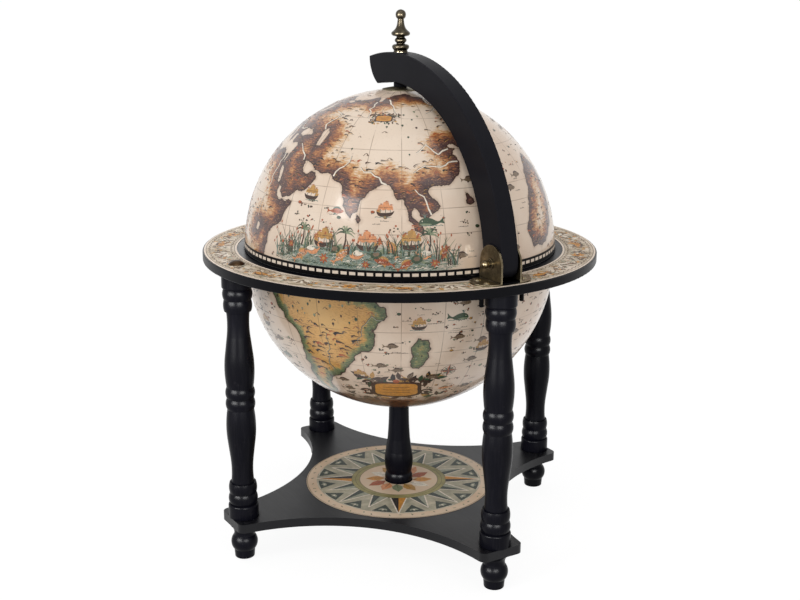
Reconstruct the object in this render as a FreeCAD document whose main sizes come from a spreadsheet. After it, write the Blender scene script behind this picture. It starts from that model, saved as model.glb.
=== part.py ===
"""Floor globe bar: a half globe on a swinging arm closes over a bowl that holds bottles and glasses.

The floor is z = 0 and the polar axis is the Z axis. The arm and its hinge are on the +X side, and
the four legs and the four corners of the base plate lie on the X and Y axes. Sizes are millimetres.
"""
import FreeCAD, Part
import math
import os
import re

import Sketcher

SIZES = {
    # Half globes
    "globe_radius": 210.0,
    "shell_wall": 6.0,
    "rim_hoop_width": 10.0,
    "rim_hoop_height": 18.0,
    "felt_thickness": 1.1,
    "felt_gap": 0.3,
    "band_height": 11.5,
    "print_thickness": 0.4,
    "seat_clearance": 0.05,
    # Horizon ring
    "ring_reach": 56.5,
    "ring_lip": 1.0,
    "ring_thickness": 12.0,
    "ring_edge_break": 1.2,
    "ring_print_gap": 11.0,
    "ring_print_margin": 2.0,
    # Legs
    "leg_inset": 25.3,
    "leg_block_radius": 20.0,
    "leg_block_height": 18.5,
    "leg_groove_radius": 17.5,
    "leg_bead_swell": 1.9,
    "leg_small_bead_swell": 1.2,
    "leg_bead_height": 15.0,
    "leg_belly_swell": 1.8,
    "leg_belly_height": 47.0,
    "leg_taper_radius": 17.9,
    "leg_taper_height": 22.0,
    "leg_neck_radius": 15.2,
    "leg_neck_hollow": 1.0,
    # Feet
    "foot_height": 47.0,
    "foot_tip_radius": 13.2,
    "foot_tip_rounding": 1.5,
    "foot_neck_radius": 14.0,
    "foot_tip_height": 11.5,
    "foot_ball_swell": 3.8,
    "foot_ball_height": 20.5,
    "foot_top_radius": 18.0,
    "foot_top_edge": 1.5,
    # Base plate
    "base_thickness": 12.0,
    "base_corner_margin": 18.8,
    "base_corner_width": 62.0,
    "base_corner_rounding": 9.0,
    "base_waist": 143.0,
    "base_print_margin": 11.0,
    # Pillar under the bowl
    "pillar_length": 122.45,
    "pillar_foot_radius": 18.2,
    "pillar_bead_swell": 1.65,
    "pillar_bead_height": 13.5,
    "pillar_groove_radius": 17.7,
    "pillar_belly_swell": 2.05,
    "pillar_belly_height": 31.5,
    "pillar_shoulder_radius": 18.6,
    "pillar_taper_height": 19.0,
    "pillar_taper_radius": 16.0,
    "pillar_top_radius": 14.2,
    "pillar_hollow": 0.7,
    # Fasteners of the stand
    "stud_radius": 4.0,
    "stud_depth": 28.0,
    "bolt_radius": 3.0,
    "bolt_depth": 30.0,
    "bolt_dome_radius": 11.0,
    "bolt_dome_height": 5.5,
    "flush_head_radius": 5.5,
    "flush_head_height": 4.0,
    "rod_radius": 4.0,
    "rod_end_length": 3.0,
    "nut_flats": 13.0,
    "nut_height": 6.5,
    "washer_radius": 12.0,
    "washer_thickness": 1.5,
    "hoop_screw_radius": 2.0,
    "hoop_screw_head_radius": 3.6,
    "hoop_screw_head_height": 2.4,
    "hoop_screw_bite": 8.0,
    # Bottle rack and bottle floor
    "rack_drop": 55.0,
    "rack_thickness": 9.0,
    "floor_lift": 57.0,
    "rack_clearance": 0.3,
    "bottle_hole_radius": 44.0,
    "bottle_circle_radius": 75.0,
    "glass_hole_radius": 33.0,
    "glass_hole_rim": 10.0,
    "glass_half_angle": 21.0,
    # Arm
    "arm_gap": 8.5,
    "arm_width": 39.0,
    "arm_thickness": 24.0,
    "arm_shift": 1.5,
    "arm_top_over_angle": 14.5,
    "arm_under_over_angle": 11.3,
    "arm_end_rise": 5.5,
    "arm_edge_rounding": 1.2,
    # Hinge
    "arm_end_gap": 3.5,
    "pin_radius": 4.0,
    "running_clearance": 0.05,
    "bush_wall": 2.5,
    "hinge_play": 1.0,
    "hinge_washer_radius": 10.0,
    "hinge_washer_gap": 0.1,
    "bracket_thickness": 2.0,
    "bracket_margin": 3.0,
    "bracket_foot_straight": 3.0,
    "bracket_screw_radius": 1.75,
    "bracket_screw_length": 9.0,
    "bracket_screw_head_radius": 3.8,
    "bracket_screw_head_height": 2.2,
    "bracket_screw_spread": 9.5,
    "bracket_screw_reach": 12.0,
    "knob_flange_radius": 6.5,
    "knob_flange_height": 1.6,
    "knob_neck_radius": 3.4,
    "knob_neck_height": 2.6,
    "knob_ball_radius": 5.0,
    "knob_nut_bore": 6.0,
    # Pole
    "pole_rod_radius": 4.0,
    "pole_bush_radius": 7.0,
    "pole_flange_radius": 18.0,
    "pole_flange_height": 3.0,
    "pole_cap_radius": 24.0,
    "pole_cap_edge": 1.2,
    "pole_cap_rise": 2.5,
    "pole_collar_radius": 9.0,
    "pole_gap": 0.3,
    "pole_seat_relief": 0.25,
    "pole_rod_in_finial": 20.0,
    # Finial
    "finial_base_radius": 9.5,
    "finial_foot_radius": 11.4,
    "finial_foot_height": 6.0,
    "finial_waist_radius": 6.5,
    "finial_waist_height": 11.4,
    "finial_cove_radius": 7.4,
    "finial_bead_swell": 1.3,
    "finial_bead_height": 6.8,
    "finial_lip_radius": 11.6,
    "finial_lip_height": 3.6,
    "finial_bell_radius": 12.4,
    "finial_bell_height": 2.0,
    "finial_sweep_radius": 6.75,
    "finial_sweep_height": 8.5,
    "finial_neck_radius": 4.5,
    "finial_neck_height": 10.3,
    "finial_ball_radius": 6.9,
}
HOOP_SCREWS = 6
QUARTERS = (0, 90, 180, 270)
HINGE_QUARTER = 0
BOTTLE_ANGLES = (60, 180, 300)
GLASS_SECTORS = (0, 120, 240)

# Distances from the polar axis
SHELL_INNER = "(globe_radius - shell_wall)"
RING_OUTER = "(globe_radius + ring_reach)"
LEG_CIRCLE = f"({RING_OUTER} - leg_inset)"
BASE_REACH = f"({LEG_CIRCLE} + base_corner_margin)"
ARM_INNER = "(globe_radius + arm_gap)"

# Depth of the bottle floor's upper face below the ring
FLOOR_DROP = f"({SHELL_INNER} - floor_lift - rack_thickness)"

# Heights above the floor
LEG_LENGTH = "(pillar_length + globe_radius + seat_clearance)"
BASE_TOP = "(foot_height + base_thickness)"
RING_BOTTOM = f"({BASE_TOP} + {LEG_LENGTH})"
RING_TOP = f"({RING_BOTTOM} + ring_thickness)"
RING_PRINT_TOP = f"({RING_TOP} + print_thickness)"
LID_LIFT = "(felt_gap + felt_thickness)"
LID_CENTRE = f"({RING_TOP} + {LID_LIFT})"
PIN_RISE = "(arm_width / 2 + arm_end_gap + print_thickness)"
PIN_Z = f"({RING_TOP} + {PIN_RISE})"

# Arm and hinge pin, about the arm's own centre
ARM_OUTER = f"({ARM_INNER} + arm_width)"
ARM_MIDDLE = f"({ARM_INNER} + arm_width / 2)"
PIN_OVER_CENTRE = f"({PIN_RISE} - {LID_LIFT})"
PIN_ALONG = f"sqrt({ARM_MIDDLE}^2 - {PIN_OVER_CENTRE}^2)"
PIN_X = f"(arm_shift + {PIN_ALONG})"
EAR_FACE = "(arm_thickness / 2 + hinge_play)"
EAR_OUTSIDE = f"({EAR_FACE} + bracket_thickness)"
BRACKET_SCREW_Y = f"({EAR_OUTSIDE} + bracket_screw_reach)"

OUTWARD = 1
INWARD = -1
EDGE_TOLERANCE = 0.01

doc = FreeCAD.newDocument("floor_globe_bar")
sheet = doc.addObject("Spreadsheet::Sheet", "Sizes")
for row, (size_name, size) in enumerate(SIZES.items(), start=1):
    sheet.set(f"A{row}", size_name)
    sheet.set(f"B{row}", str(size))
    sheet.setAlias(f"B{row}", size_name)
doc.recompute()
sub_parts = []
cuts = []


def value(text):
    """The number that a text of sheet names works out to."""
    return float(sheet.evalExpression(text))


def tie(thing, path, text):
    """Bind one property to the sheet. Every name in the sheet has an underscore in it."""
    thing.setExpression(path, re.sub(r"[a-z]+(_[a-z]+)+", lambda name: "Sizes." + name[0], text))


def bead(height, swell):
    """Radius text of an arc that spans a height and swells from its chord by a given rise."""
    return f"(({height} / 2)^2 + {swell}^2) / (2 * {swell})"


def under_dome(radius, across):
    """Height of a sphere's surface above its centre, at a distance from the axis."""
    return f"sqrt({radius}^2 - {across}^2)"


def new_body(label):
    body = doc.addObject("PartDesign::Body", label)
    body.Label = label
    return body


def new_sketch(body, role, height="0"):
    """A sketch on one of the body's own planes, lifted off it by a height."""
    plane = next(item for item in body.Origin.OriginFeatures if item.Role == role)
    sketch = body.newObject("Sketcher::SketchObject", f"{body.Name}_sketch")
    sketch.AttachmentSupport = [(plane, "")]
    sketch.MapMode = "FlatFace"
    if height != "0":
        tie(sketch, "AttachmentOffset.Base.z", height)
    return sketch


def hold_point(sketch, geometry, end, across, up):
    """Tie one point of a sketch to its two distances from the origin."""
    for kind, text, axis in (("DistanceX", across, -2), ("DistanceY", up, -1)):
        if text == "0":
            sketch.addConstraint(Sketcher.Constraint("PointOnObject", geometry, end, axis))
            continue
        index = sketch.addConstraint(Sketcher.Constraint(kind, -1, 1, geometry, end, value(text)))
        tie(sketch, f"Constraints[{index}]", text)


def hold_radius(sketch, geometry, text):
    index = sketch.addConstraint(Sketcher.Constraint("Radius", geometry, value(text)))
    tie(sketch, f"Constraints[{index}]", text)


def draw_outline(sketch, corners):
    """Closed outline through (across, up) corners, each followed by a line or, with a radius and a
    side, by an arc: OUTWARD bulges to the right of the way from one corner to the next."""
    points = [FreeCAD.Vector(value(corner[0]), value(corner[1]), 0) for corner in corners]
    ends = []
    for index, corner in enumerate(corners):
        start = points[index]
        stop = points[(index + 1) % len(points)]
        if len(corner) == 2:
            geometry = sketch.addGeometry(Part.LineSegment(start, stop))
            ends.append((geometry, 1, 2))
            continue
        radius = value(corner[2])
        chord = stop - start
        rise = radius - math.sqrt(max(radius**2 - (chord.Length / 2) ** 2, 0))
        side = FreeCAD.Vector(chord.y, -chord.x, 0) / chord.Length * corner[3]
        geometry = sketch.addGeometry(Part.Arc(start, (start + stop) / 2 + side * rise, stop))
        forward = sketch.getPoint(geometry, 1).distanceToPoint(start) < chord.Length / 2
        ends.append((geometry, 1, 2) if forward else (geometry, 2, 1))
    for index, corner in enumerate(corners):
        geometry, first, last = ends[index]
        following = ends[(index + 1) % len(ends)]
        sketch.addConstraint(Sketcher.Constraint("Coincident", geometry, last, following[0], following[1]))
        hold_point(sketch, geometry, first, corner[0], corner[1])
        if len(corner) == 4:
            hold_radius(sketch, geometry, corner[2])


def draw_circle(sketch, radius, across="0", up="0"):
    centre = FreeCAD.Vector(value(across), value(up), 0)
    upright = FreeCAD.Vector(0, 0, 1)
    geometry = sketch.addGeometry(Part.Circle(centre, upright, value(radius)))
    hold_point(sketch, geometry, 3, across, up)
    hold_radius(sketch, geometry, radius)


def pad(body, sketch, depth, symmetric=False, backwards=False):
    feature = body.newObject("PartDesign::Pad", f"{body.Name}_pad")
    feature.Profile = sketch
    tie(feature, "Length", depth)
    feature.Reversed = backwards
    if symmetric:
        feature.SideType = "Symmetric"
    return feature


def pocket(body, sketch, depth, symmetric=False, backwards=False):
    feature = body.newObject("PartDesign::Pocket", f"{body.Name}_pocket")
    feature.Profile = sketch
    tie(feature, "Length", depth)
    feature.Reversed = backwards
    if symmetric:
        feature.SideType = "Symmetric"
    cuts.append(feature)
    return feature


def round_edges(body, feature, radius, chosen):
    """Round the edges of a feature that a test chooses."""
    doc.recompute()
    rounding = body.newObject("PartDesign::Fillet", f"{body.Name}_rounding")
    edges = feature.Shape.Edges
    rounding.Base = (feature, [f"Edge{index}" for index, edge in enumerate(edges, 1) if chosen(edge)])
    tie(rounding, "Radius", radius)


def turned(label, corners):
    """A piece turned on the lathe: an outline of (radius, height) swung round the Z axis."""
    body = new_body(label)
    sketch = new_sketch(body, "XZ_Plane")
    draw_outline(sketch, corners)
    turning = body.newObject("PartDesign::Revolution", f"{label}_turning")
    turning.Profile = sketch
    turning.ReferenceAxis = (sketch, ["V_Axis"])
    turning.Angle = 360
    return body


def place(thing, across="0", along="0", up="0"):
    for letter, text in (("x", across), ("y", along), ("z", up)):
        if text != "0":
            tie(thing, f"Placement.Base.{letter}", text)
    return thing


def keep(thing):
    """List a finished sub-part."""
    sub_parts.append(thing)
    return thing


def group(label, members):
    """Identical loose pieces under one name."""
    whole = doc.addObject("Part::Compound", label)
    whole.Label = label
    whole.Links = members
    return keep(whole)


def on_circle(radius, degrees):
    """The two distances of a point on a circle about the polar axis."""
    across = "0" if degrees % 180 == 90 else f"{radius} * cos({degrees})"
    along = "0" if degrees % 180 == 0 else f"{radius} * sin({degrees})"
    return across, along


def pin(label, radius, bottom, top):
    """A plain round rod on the Z axis."""
    return turned(label, [("0", bottom), (radius, bottom), (radius, top), ("0", top)])


def tube(label, bore, outside, bottom, top):
    """A plain round sleeve, washer or hoop on the Z axis."""
    return turned(label, [(bore, bottom), (outside, bottom), (outside, top), (bore, top)])


def hex_nut(label, bore, flats, bottom, height):
    body = new_body(label)
    sketch = new_sketch(body, "XY_Plane", bottom)
    corner_radius = f"({flats} / sqrt(3))"
    draw_outline(sketch, [on_circle(corner_radius, degrees) for degrees in range(30, 390, 60)])
    draw_circle(sketch, bore)
    pad(body, sketch, height)
    return body


def make_feet():
    ball_top = "(foot_tip_height + foot_ball_height)"
    cove_top = "(foot_height - foot_top_edge)"
    ball = bead("foot_ball_height", "foot_ball_swell")
    for number, quarter in enumerate(QUARTERS, 1):
        foot = turned(f"foot_{number}", [
            ("0", "0"),
            ("foot_tip_radius - foot_tip_rounding", "0", "foot_tip_rounding", OUTWARD),
            ("foot_tip_radius", "foot_tip_rounding"),
            ("foot_neck_radius", "foot_tip_height", ball, OUTWARD),
            ("foot_neck_radius", ball_top, f"({cove_top} - {ball_top})", INWARD),
            ("foot_top_radius", cove_top),
            ("foot_top_radius", "foot_height"),
            ("stud_radius", "foot_height"),
            ("stud_radius", "foot_height - stud_depth"),
            ("0", "foot_height - stud_depth"),
        ])
        keep(place(foot, *on_circle(LEG_CIRCLE, quarter)))


def leg_half():
    """One half of a leg's outline, from its middle to its end: (radius, distance from the middle),
    with an arc's radius and side where an arc leads on to the next corner."""
    half = f"({LEG_LENGTH} / 2)"
    belly_low = "leg_bead_height"
    belly_high = "(leg_bead_height + leg_belly_height)"
    taper_high = f"({belly_high} + leg_taper_height)"
    upper_groove = f"({half} - leg_block_height)"
    middle_groove = f"({upper_groove} - leg_bead_height)"
    lower_groove = f"({middle_groove} - leg_bead_height)"
    shoulder = "(leg_block_radius - leg_groove_radius)"
    wide_bead = bead("leg_bead_height", "leg_bead_swell")
    small_bead = bead("leg_bead_height", "leg_small_bead_swell")
    belly = bead("leg_belly_height", "leg_belly_swell")
    neck = bead(f"({lower_groove} - {taper_high})", "leg_neck_hollow")
    return [
        ("leg_groove_radius", "0", wide_bead, OUTWARD),
        ("leg_groove_radius", belly_low, belly, OUTWARD),
        ("leg_taper_radius", belly_high),
        ("leg_neck_radius", taper_high, neck, INWARD),
        ("leg_neck_radius", lower_groove),
        ("leg_groove_radius", lower_groove, small_bead, OUTWARD),
        ("leg_groove_radius", middle_groove, wide_bead, OUTWARD),
        ("leg_groove_radius", upper_groove, shoulder, OUTWARD),
        ("leg_block_radius", f"({upper_groove} + {shoulder})"),
        ("leg_block_radius", half),
    ]


def leg_outline():
    """The whole outline of a leg from its foot end to its ring end, alike about its middle."""
    middle = f"{LEG_LENGTH} / 2"
    half = leg_half()
    lower = []
    for corner, before in zip(half[:0:-1], half[-2::-1]):
        lower.append((corner[0], f"{middle} - {corner[1]}") + before[2:])
    upper = [(corner[0], f"{middle} + {corner[1]}") + corner[2:] for corner in half]
    return lower + upper


def make_legs():
    bottom_bore = [("0", "stud_depth"), ("stud_radius", "stud_depth"), ("stud_radius", "0")]
    bore_end = f"{LEG_LENGTH} - bolt_depth"
    top_bore = [("bolt_radius", LEG_LENGTH), ("bolt_radius", bore_end), ("0", bore_end)]
    for number, quarter in enumerate(QUARTERS, 1):
        leg = turned(f"leg_{number}", bottom_bore + leg_outline() + top_bore)
        across, along = on_circle(LEG_CIRCLE, quarter)
        keep(place(leg, across, along, BASE_TOP))


def make_foot_studs():
    """Studs that hold each foot, the base plate and the leg together."""
    studs = []
    for number, quarter in enumerate(QUARTERS, 1):
        stud = pin(f"foot_stud_{number}", "stud_radius", "foot_height - stud_depth",
                   f"{BASE_TOP} + stud_depth")
        studs.append(place(stud, *on_circle(LEG_CIRCLE, quarter)))
    group("foot_studs", studs)


def make_base_plate():
    body = new_body("base_plate")
    sketch = new_sketch(body, "XY_Plane", "foot_height")
    half = "(base_corner_width / 2)"
    side_reach = f"(({BASE_REACH} + {half}) / sqrt(2))"
    side_half = f"(({BASE_REACH} - {half}) / sqrt(2))"
    depth = f"({side_reach} - base_waist)"
    side_radius = f"({depth}^2 + {side_half}^2) / (2 * {depth})"
    reach = BASE_REACH
    draw_outline(sketch, [
        (reach, f"-{half}"), (reach, half, side_radius, INWARD),
        (half, reach), (f"-{half}", reach, side_radius, INWARD),
        (f"-{reach}", half), (f"-{reach}", f"-{half}", side_radius, INWARD),
        (f"-{half}", f"-{reach}"), (half, f"-{reach}", side_radius, INWARD),
    ])
    for quarter in QUARTERS:
        draw_circle(sketch, "stud_radius", *on_circle(LEG_CIRCLE, quarter))
    draw_circle(sketch, "rod_radius")
    plate = pad(body, sketch, "base_thickness")
    upright = FreeCAD.Vector(0, 0, 1)
    far = value(BASE_REACH) - EDGE_TOLERANCE

    def is_corner(edge):
        if not isinstance(edge.Curve, Part.Line):
            return False
        middle = edge.CenterOfMass
        at_end = max(abs(middle.x), abs(middle.y)) > far
        return at_end and abs(edge.tangentAt(edge.FirstParameter).dot(upright)) > 1 - EDGE_TOLERANCE

    round_edges(body, plate, "base_corner_rounding", is_corner)
    keep(body)
    pillar_widest = "(pillar_foot_radius + pillar_bead_swell)"
    paper = tube("base_print", pillar_widest, "base_waist - base_print_margin", "0", "print_thickness")
    keep(place(paper, up=BASE_TOP))


def make_pillar():
    """The turned pillar between base plate and bowl, with the rod, nuts and washers that tie it."""
    belly_top = "(pillar_bead_height + pillar_belly_height)"
    taper_top = f"({belly_top} + pillar_taper_height)"
    foot_bead = bead("pillar_bead_height", "pillar_bead_swell")
    belly = bead("pillar_belly_height", "pillar_belly_swell")
    upper_taper = bead(f"(pillar_length - {taper_top})", "pillar_hollow")
    pillar = turned("pillar", [
        ("rod_radius", "0"),
        ("pillar_foot_radius", "0", foot_bead, OUTWARD),
        ("pillar_groove_radius", "pillar_bead_height", belly, OUTWARD),
        ("pillar_shoulder_radius", belly_top),
        ("pillar_taper_radius", taper_top, upper_taper, INWARD),
        ("pillar_top_radius", "pillar_length"),
        ("rod_radius", "pillar_length"),
    ])
    keep(place(pillar, up=BASE_TOP))
    bowl_floor = f"({RING_BOTTOM} - {under_dome(SHELL_INNER, 'washer_radius')} + washer_thickness)"
    base_side = "(foot_height - washer_thickness)"
    rod_top = f"{bowl_floor} + nut_height + rod_end_length"
    keep(pin("pillar_rod", "rod_radius", f"{base_side} - nut_height - rod_end_length", rod_top))
    group("pillar_washers", [
        tube("base_washer", "rod_radius", "washer_radius", base_side, "foot_height"),
        tube("bowl_washer", "rod_radius", "washer_radius", f"{bowl_floor} - washer_thickness", bowl_floor),
    ])
    group("pillar_nuts", [
        hex_nut("base_nut", "rod_radius", "nut_flats", f"{base_side} - nut_height", "nut_height"),
        hex_nut("bowl_nut", "rod_radius", "nut_flats", bowl_floor, "nut_height"),
    ])


def make_horizon_ring():
    body = new_body("horizon_ring")
    sketch = new_sketch(body, "XY_Plane")
    draw_circle(sketch, RING_OUTER)
    draw_circle(sketch, f"{hoop_inner()} - ring_lip")
    for quarter in QUARTERS:
        draw_circle(sketch, "bolt_radius", *on_circle(LEG_CIRCLE, quarter))
    board = pad(body, sketch, "ring_thickness")
    outer = value(RING_OUTER)

    def is_outer_edge(edge):
        return isinstance(edge.Curve, Part.Circle) and abs(edge.Curve.Radius - outer) < EDGE_TOLERANCE

    round_edges(body, board, "ring_edge_break", is_outer_edge)
    head_seat = new_sketch(body, "XY_Plane", "ring_thickness")
    draw_circle(head_seat, "flush_head_radius", *on_circle(LEG_CIRCLE, HINGE_QUARTER))
    pocket(body, head_seat, "flush_head_height")
    screw_holes = new_sketch(body, "XY_Plane", "ring_thickness")
    for across, along in bracket_screw_places():
        draw_circle(screw_holes, "bracket_screw_radius", across, along)
    screw_bite = "(bracket_screw_length - bracket_thickness - print_thickness)"
    pocket(body, screw_holes, screw_bite)
    hoop_holes = new_sketch(body, "XY_Plane")
    for degrees in hoop_screw_angles():
        draw_circle(hoop_holes, "hoop_screw_radius", *on_circle(hoop_screw_circle(), degrees))
    pocket(body, hoop_holes, "hoop_screw_bite", backwards=True)
    keep(place(body, up=RING_BOTTOM))


def make_ring_print():
    """The printed paper on the ring, pierced for the bolts and screws that go through it."""
    body = new_body("ring_print")
    sketch = new_sketch(body, "XY_Plane")
    draw_circle(sketch, f"{RING_OUTER} - ring_print_margin")
    draw_circle(sketch, "globe_radius + ring_print_gap")
    for quarter in QUARTERS:
        radius = "flush_head_radius" if quarter == HINGE_QUARTER else "bolt_radius"
        draw_circle(sketch, radius, *on_circle(LEG_CIRCLE, quarter))
    for across, along in bracket_screw_places():
        draw_circle(sketch, "bracket_screw_radius", across, along)
    pad(body, sketch, "print_thickness")
    keep(place(body, up=RING_TOP))


def make_ring_bolts():
    """Dome-headed bolts through the ring into three legs, and a flush screw under the hinge."""
    dome = bead("(2 * bolt_dome_radius)", "bolt_dome_height")
    bolt_tip = f"{RING_BOTTOM} - bolt_depth"
    bolts = []
    for number, quarter in enumerate(QUARTERS, 1):
        if quarter == HINGE_QUARTER:
            continue
        bolt = turned(f"ring_bolt_{number}", [
            ("0", bolt_tip),
            ("bolt_radius", bolt_tip),
            ("bolt_radius", RING_PRINT_TOP),
            ("bolt_dome_radius", RING_PRINT_TOP, dome, OUTWARD),
            ("0", f"{RING_PRINT_TOP} + bolt_dome_height"),
        ])
        bolts.append(place(bolt, *on_circle(LEG_CIRCLE, quarter)))
    group("ring_bolts", bolts)
    screw = turned("hinge_leg_screw", [
        ("0", bolt_tip),
        ("bolt_radius", bolt_tip),
        ("bolt_radius", f"{RING_TOP} - flush_head_height"),
        ("flush_head_radius", f"{RING_TOP} - flush_head_height"),
        ("flush_head_radius", RING_TOP),
        ("0", RING_TOP),
    ])
    keep(place(screw, *on_circle(LEG_CIRCLE, HINGE_QUARTER)))


def hoop_outer(height):
    """Outside radius of a rim hoop that touches the shell's wall at its far edge."""
    return f"({under_dome(SHELL_INNER, height)} - seat_clearance)"


def hoop_inner():
    return f"({hoop_outer('rim_hoop_height')} - rim_hoop_width)"


def hoop_screw_circle():
    return f"({hoop_outer('rim_hoop_height')} - rim_hoop_width / 2)"


def hoop_screw_angles():
    step = 360 // HOOP_SCREWS
    return range(step // 2, 360, step)


def make_bowl():
    """The lower half globe, its rim hoop and the screws that hang it under the ring."""
    bowl = turned("lower_hemisphere", [
        ("globe_radius", "0"),
        (SHELL_INNER, "0", SHELL_INNER, INWARD),
        ("rod_radius", f"-{under_dome(SHELL_INNER, 'rod_radius')}"),
        ("rod_radius", f"-{under_dome('globe_radius', 'rod_radius')}", "globe_radius", OUTWARD),
    ])
    keep(place(bowl, up=RING_BOTTOM))
    hoop = new_body("lower_rim_hoop")
    sketch = new_sketch(hoop, "XY_Plane")
    draw_circle(sketch, hoop_outer("rim_hoop_height"))
    draw_circle(sketch, hoop_inner())
    for degrees in hoop_screw_angles():
        draw_circle(sketch, "hoop_screw_radius", *on_circle(hoop_screw_circle(), degrees))
    pad(hoop, sketch, "rim_hoop_height", backwards=True)
    keep(place(hoop, up=RING_BOTTOM))
    under = "-rim_hoop_height"
    screws = []
    for number, degrees in enumerate(hoop_screw_angles(), 1):
        screw = turned(f"hoop_screw_{number}", [
            ("0", f"{under} - hoop_screw_head_height"),
            ("hoop_screw_head_radius", f"{under} - hoop_screw_head_height"),
            ("hoop_screw_head_radius", under),
            ("hoop_screw_radius", under),
            ("hoop_screw_radius", "hoop_screw_bite"),
            ("0", "hoop_screw_bite"),
        ])
        across, along = on_circle(hoop_screw_circle(), degrees)
        screws.append(place(screw, across, along, RING_BOTTOM))
    group("hoop_screws", screws)


def board_radius(drop):
    """Radius of a board that rests in the bowl with its upper face a given drop below the ring."""
    return f"({under_dome(SHELL_INNER, f'({drop} + rack_thickness)')} - rack_clearance)"


def make_rack():
    """The board with bottle and glass holes, and the lower board that the bottles stand on."""
    rack = new_body("bottle_rack")
    sketch = new_sketch(rack, "XY_Plane", "-(rack_drop + rack_thickness)")
    draw_circle(sketch, board_radius("rack_drop"))
    for degrees in BOTTLE_ANGLES:
        draw_circle(sketch, "bottle_hole_radius", *on_circle("bottle_circle_radius", degrees))
    glass_circle = f"({board_radius('rack_drop')} - glass_hole_radius - glass_hole_rim)"
    for degrees in GLASS_SECTORS:
        for turn in ("-", "+"):
            angle = f"({degrees} {turn} glass_half_angle)"
            draw_circle(sketch, "glass_hole_radius", f"{glass_circle} * cos({angle})",
                        f"{glass_circle} * sin({angle})")
    pad(rack, sketch, "rack_thickness")
    keep(place(rack, up=RING_BOTTOM))
    floor = new_body("bottle_floor")
    sketch = new_sketch(floor, "XY_Plane", f"-({FLOOR_DROP} + rack_thickness)")
    draw_circle(sketch, board_radius(FLOOR_DROP))
    pad(floor, sketch, "rack_thickness")
    keep(place(floor, up=RING_BOTTOM))


def make_lid():
    """The upper half globe with its hoop, felt and printed equator band."""
    lid = turned("upper_hemisphere", [
        (SHELL_INNER, "0"),
        ("globe_radius", "0", "globe_radius", OUTWARD),
        ("pole_bush_radius", under_dome("globe_radius", "pole_bush_radius")),
        ("pole_bush_radius", under_dome(SHELL_INNER, "pole_bush_radius"), SHELL_INNER, INWARD),
    ])
    keep(place(lid, up=LID_CENTRE))
    hoop = tube("upper_rim_hoop", hoop_inner(), hoop_outer("rim_hoop_height"), "0", "rim_hoop_height")
    keep(place(hoop, up=LID_CENTRE))
    felt = tube("rim_felt", SHELL_INNER, "globe_radius", "-felt_thickness", "0")
    keep(place(felt, up=LID_CENTRE))
    under = "(globe_radius + seat_clearance)"
    over = "(globe_radius + seat_clearance + print_thickness)"
    band = turned("equator_band", [
        (under, "0"),
        (over, "0", over, OUTWARD),
        (under_dome(over, "band_height"), "band_height"),
        (under_dome(under, "band_height"), "band_height", under, INWARD),
    ])
    keep(place(band, up=LID_CENTRE))


def make_pole():
    """The pivot at the pole: the rod hangs in the arm and the lid turns on it with a bush."""
    cap_seat = "(globe_radius + seat_clearance)"
    cap_top = "(globe_radius + pole_cap_rise)"
    cap_edge = f"({under_dome(cap_seat, 'pole_cap_radius')} + pole_cap_edge)"
    cap_inner = "(pole_collar_radius + pole_cap_edge)"
    cap = turned("pole_cap", [
        ("pole_cap_radius", under_dome(cap_seat, "pole_cap_radius")),
        ("pole_cap_radius", cap_edge, cap_seat, OUTWARD),
        (cap_inner, cap_top),
        ("pole_bush_radius", cap_top),
        ("pole_bush_radius", under_dome(cap_seat, "pole_bush_radius"), cap_seat, INWARD),
    ])
    keep(place(cap, up=LID_CENTRE))
    bore = "(pole_rod_radius + running_clearance)"
    flange_top = f"({under_dome(SHELL_INNER, 'pole_flange_radius')} - seat_clearance)"
    flange_bottom = f"({flange_top} - pole_flange_height)"
    bush = turned("pole_bush", [
        (bore, flange_bottom),
        ("pole_flange_radius", flange_bottom),
        ("pole_flange_radius", flange_top),
        ("pole_bush_radius", flange_top),
        ("pole_bush_radius", cap_top),
        (bore, cap_top),
    ])
    keep(place(bush, up=LID_CENTRE))
    collar = tube("pole_collar", "pole_rod_radius", "pole_collar_radius", f"{cap_top} + pole_gap",
                  f"{ARM_INNER} - pole_seat_relief")
    keep(place(collar, up=LID_CENTRE))
    washer_top = f"({flange_bottom} - pole_gap)"
    washer_bottom = f"({washer_top} - washer_thickness)"
    nut_bottom = f"({washer_bottom} - nut_height)"
    washer = tube("pole_washer", "pole_rod_radius", "washer_radius", washer_bottom, washer_top)
    keep(place(washer, up=LID_CENTRE))
    nut = hex_nut("pole_nut", "pole_rod_radius", "nut_flats", nut_bottom, "nut_height")
    keep(place(nut, up=LID_CENTRE))
    rod = pin("pole_rod", "pole_rod_radius", f"{nut_bottom} - rod_end_length",
              f"{ARM_OUTER} + pole_rod_in_finial")
    keep(place(rod, up=LID_CENTRE))


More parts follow.
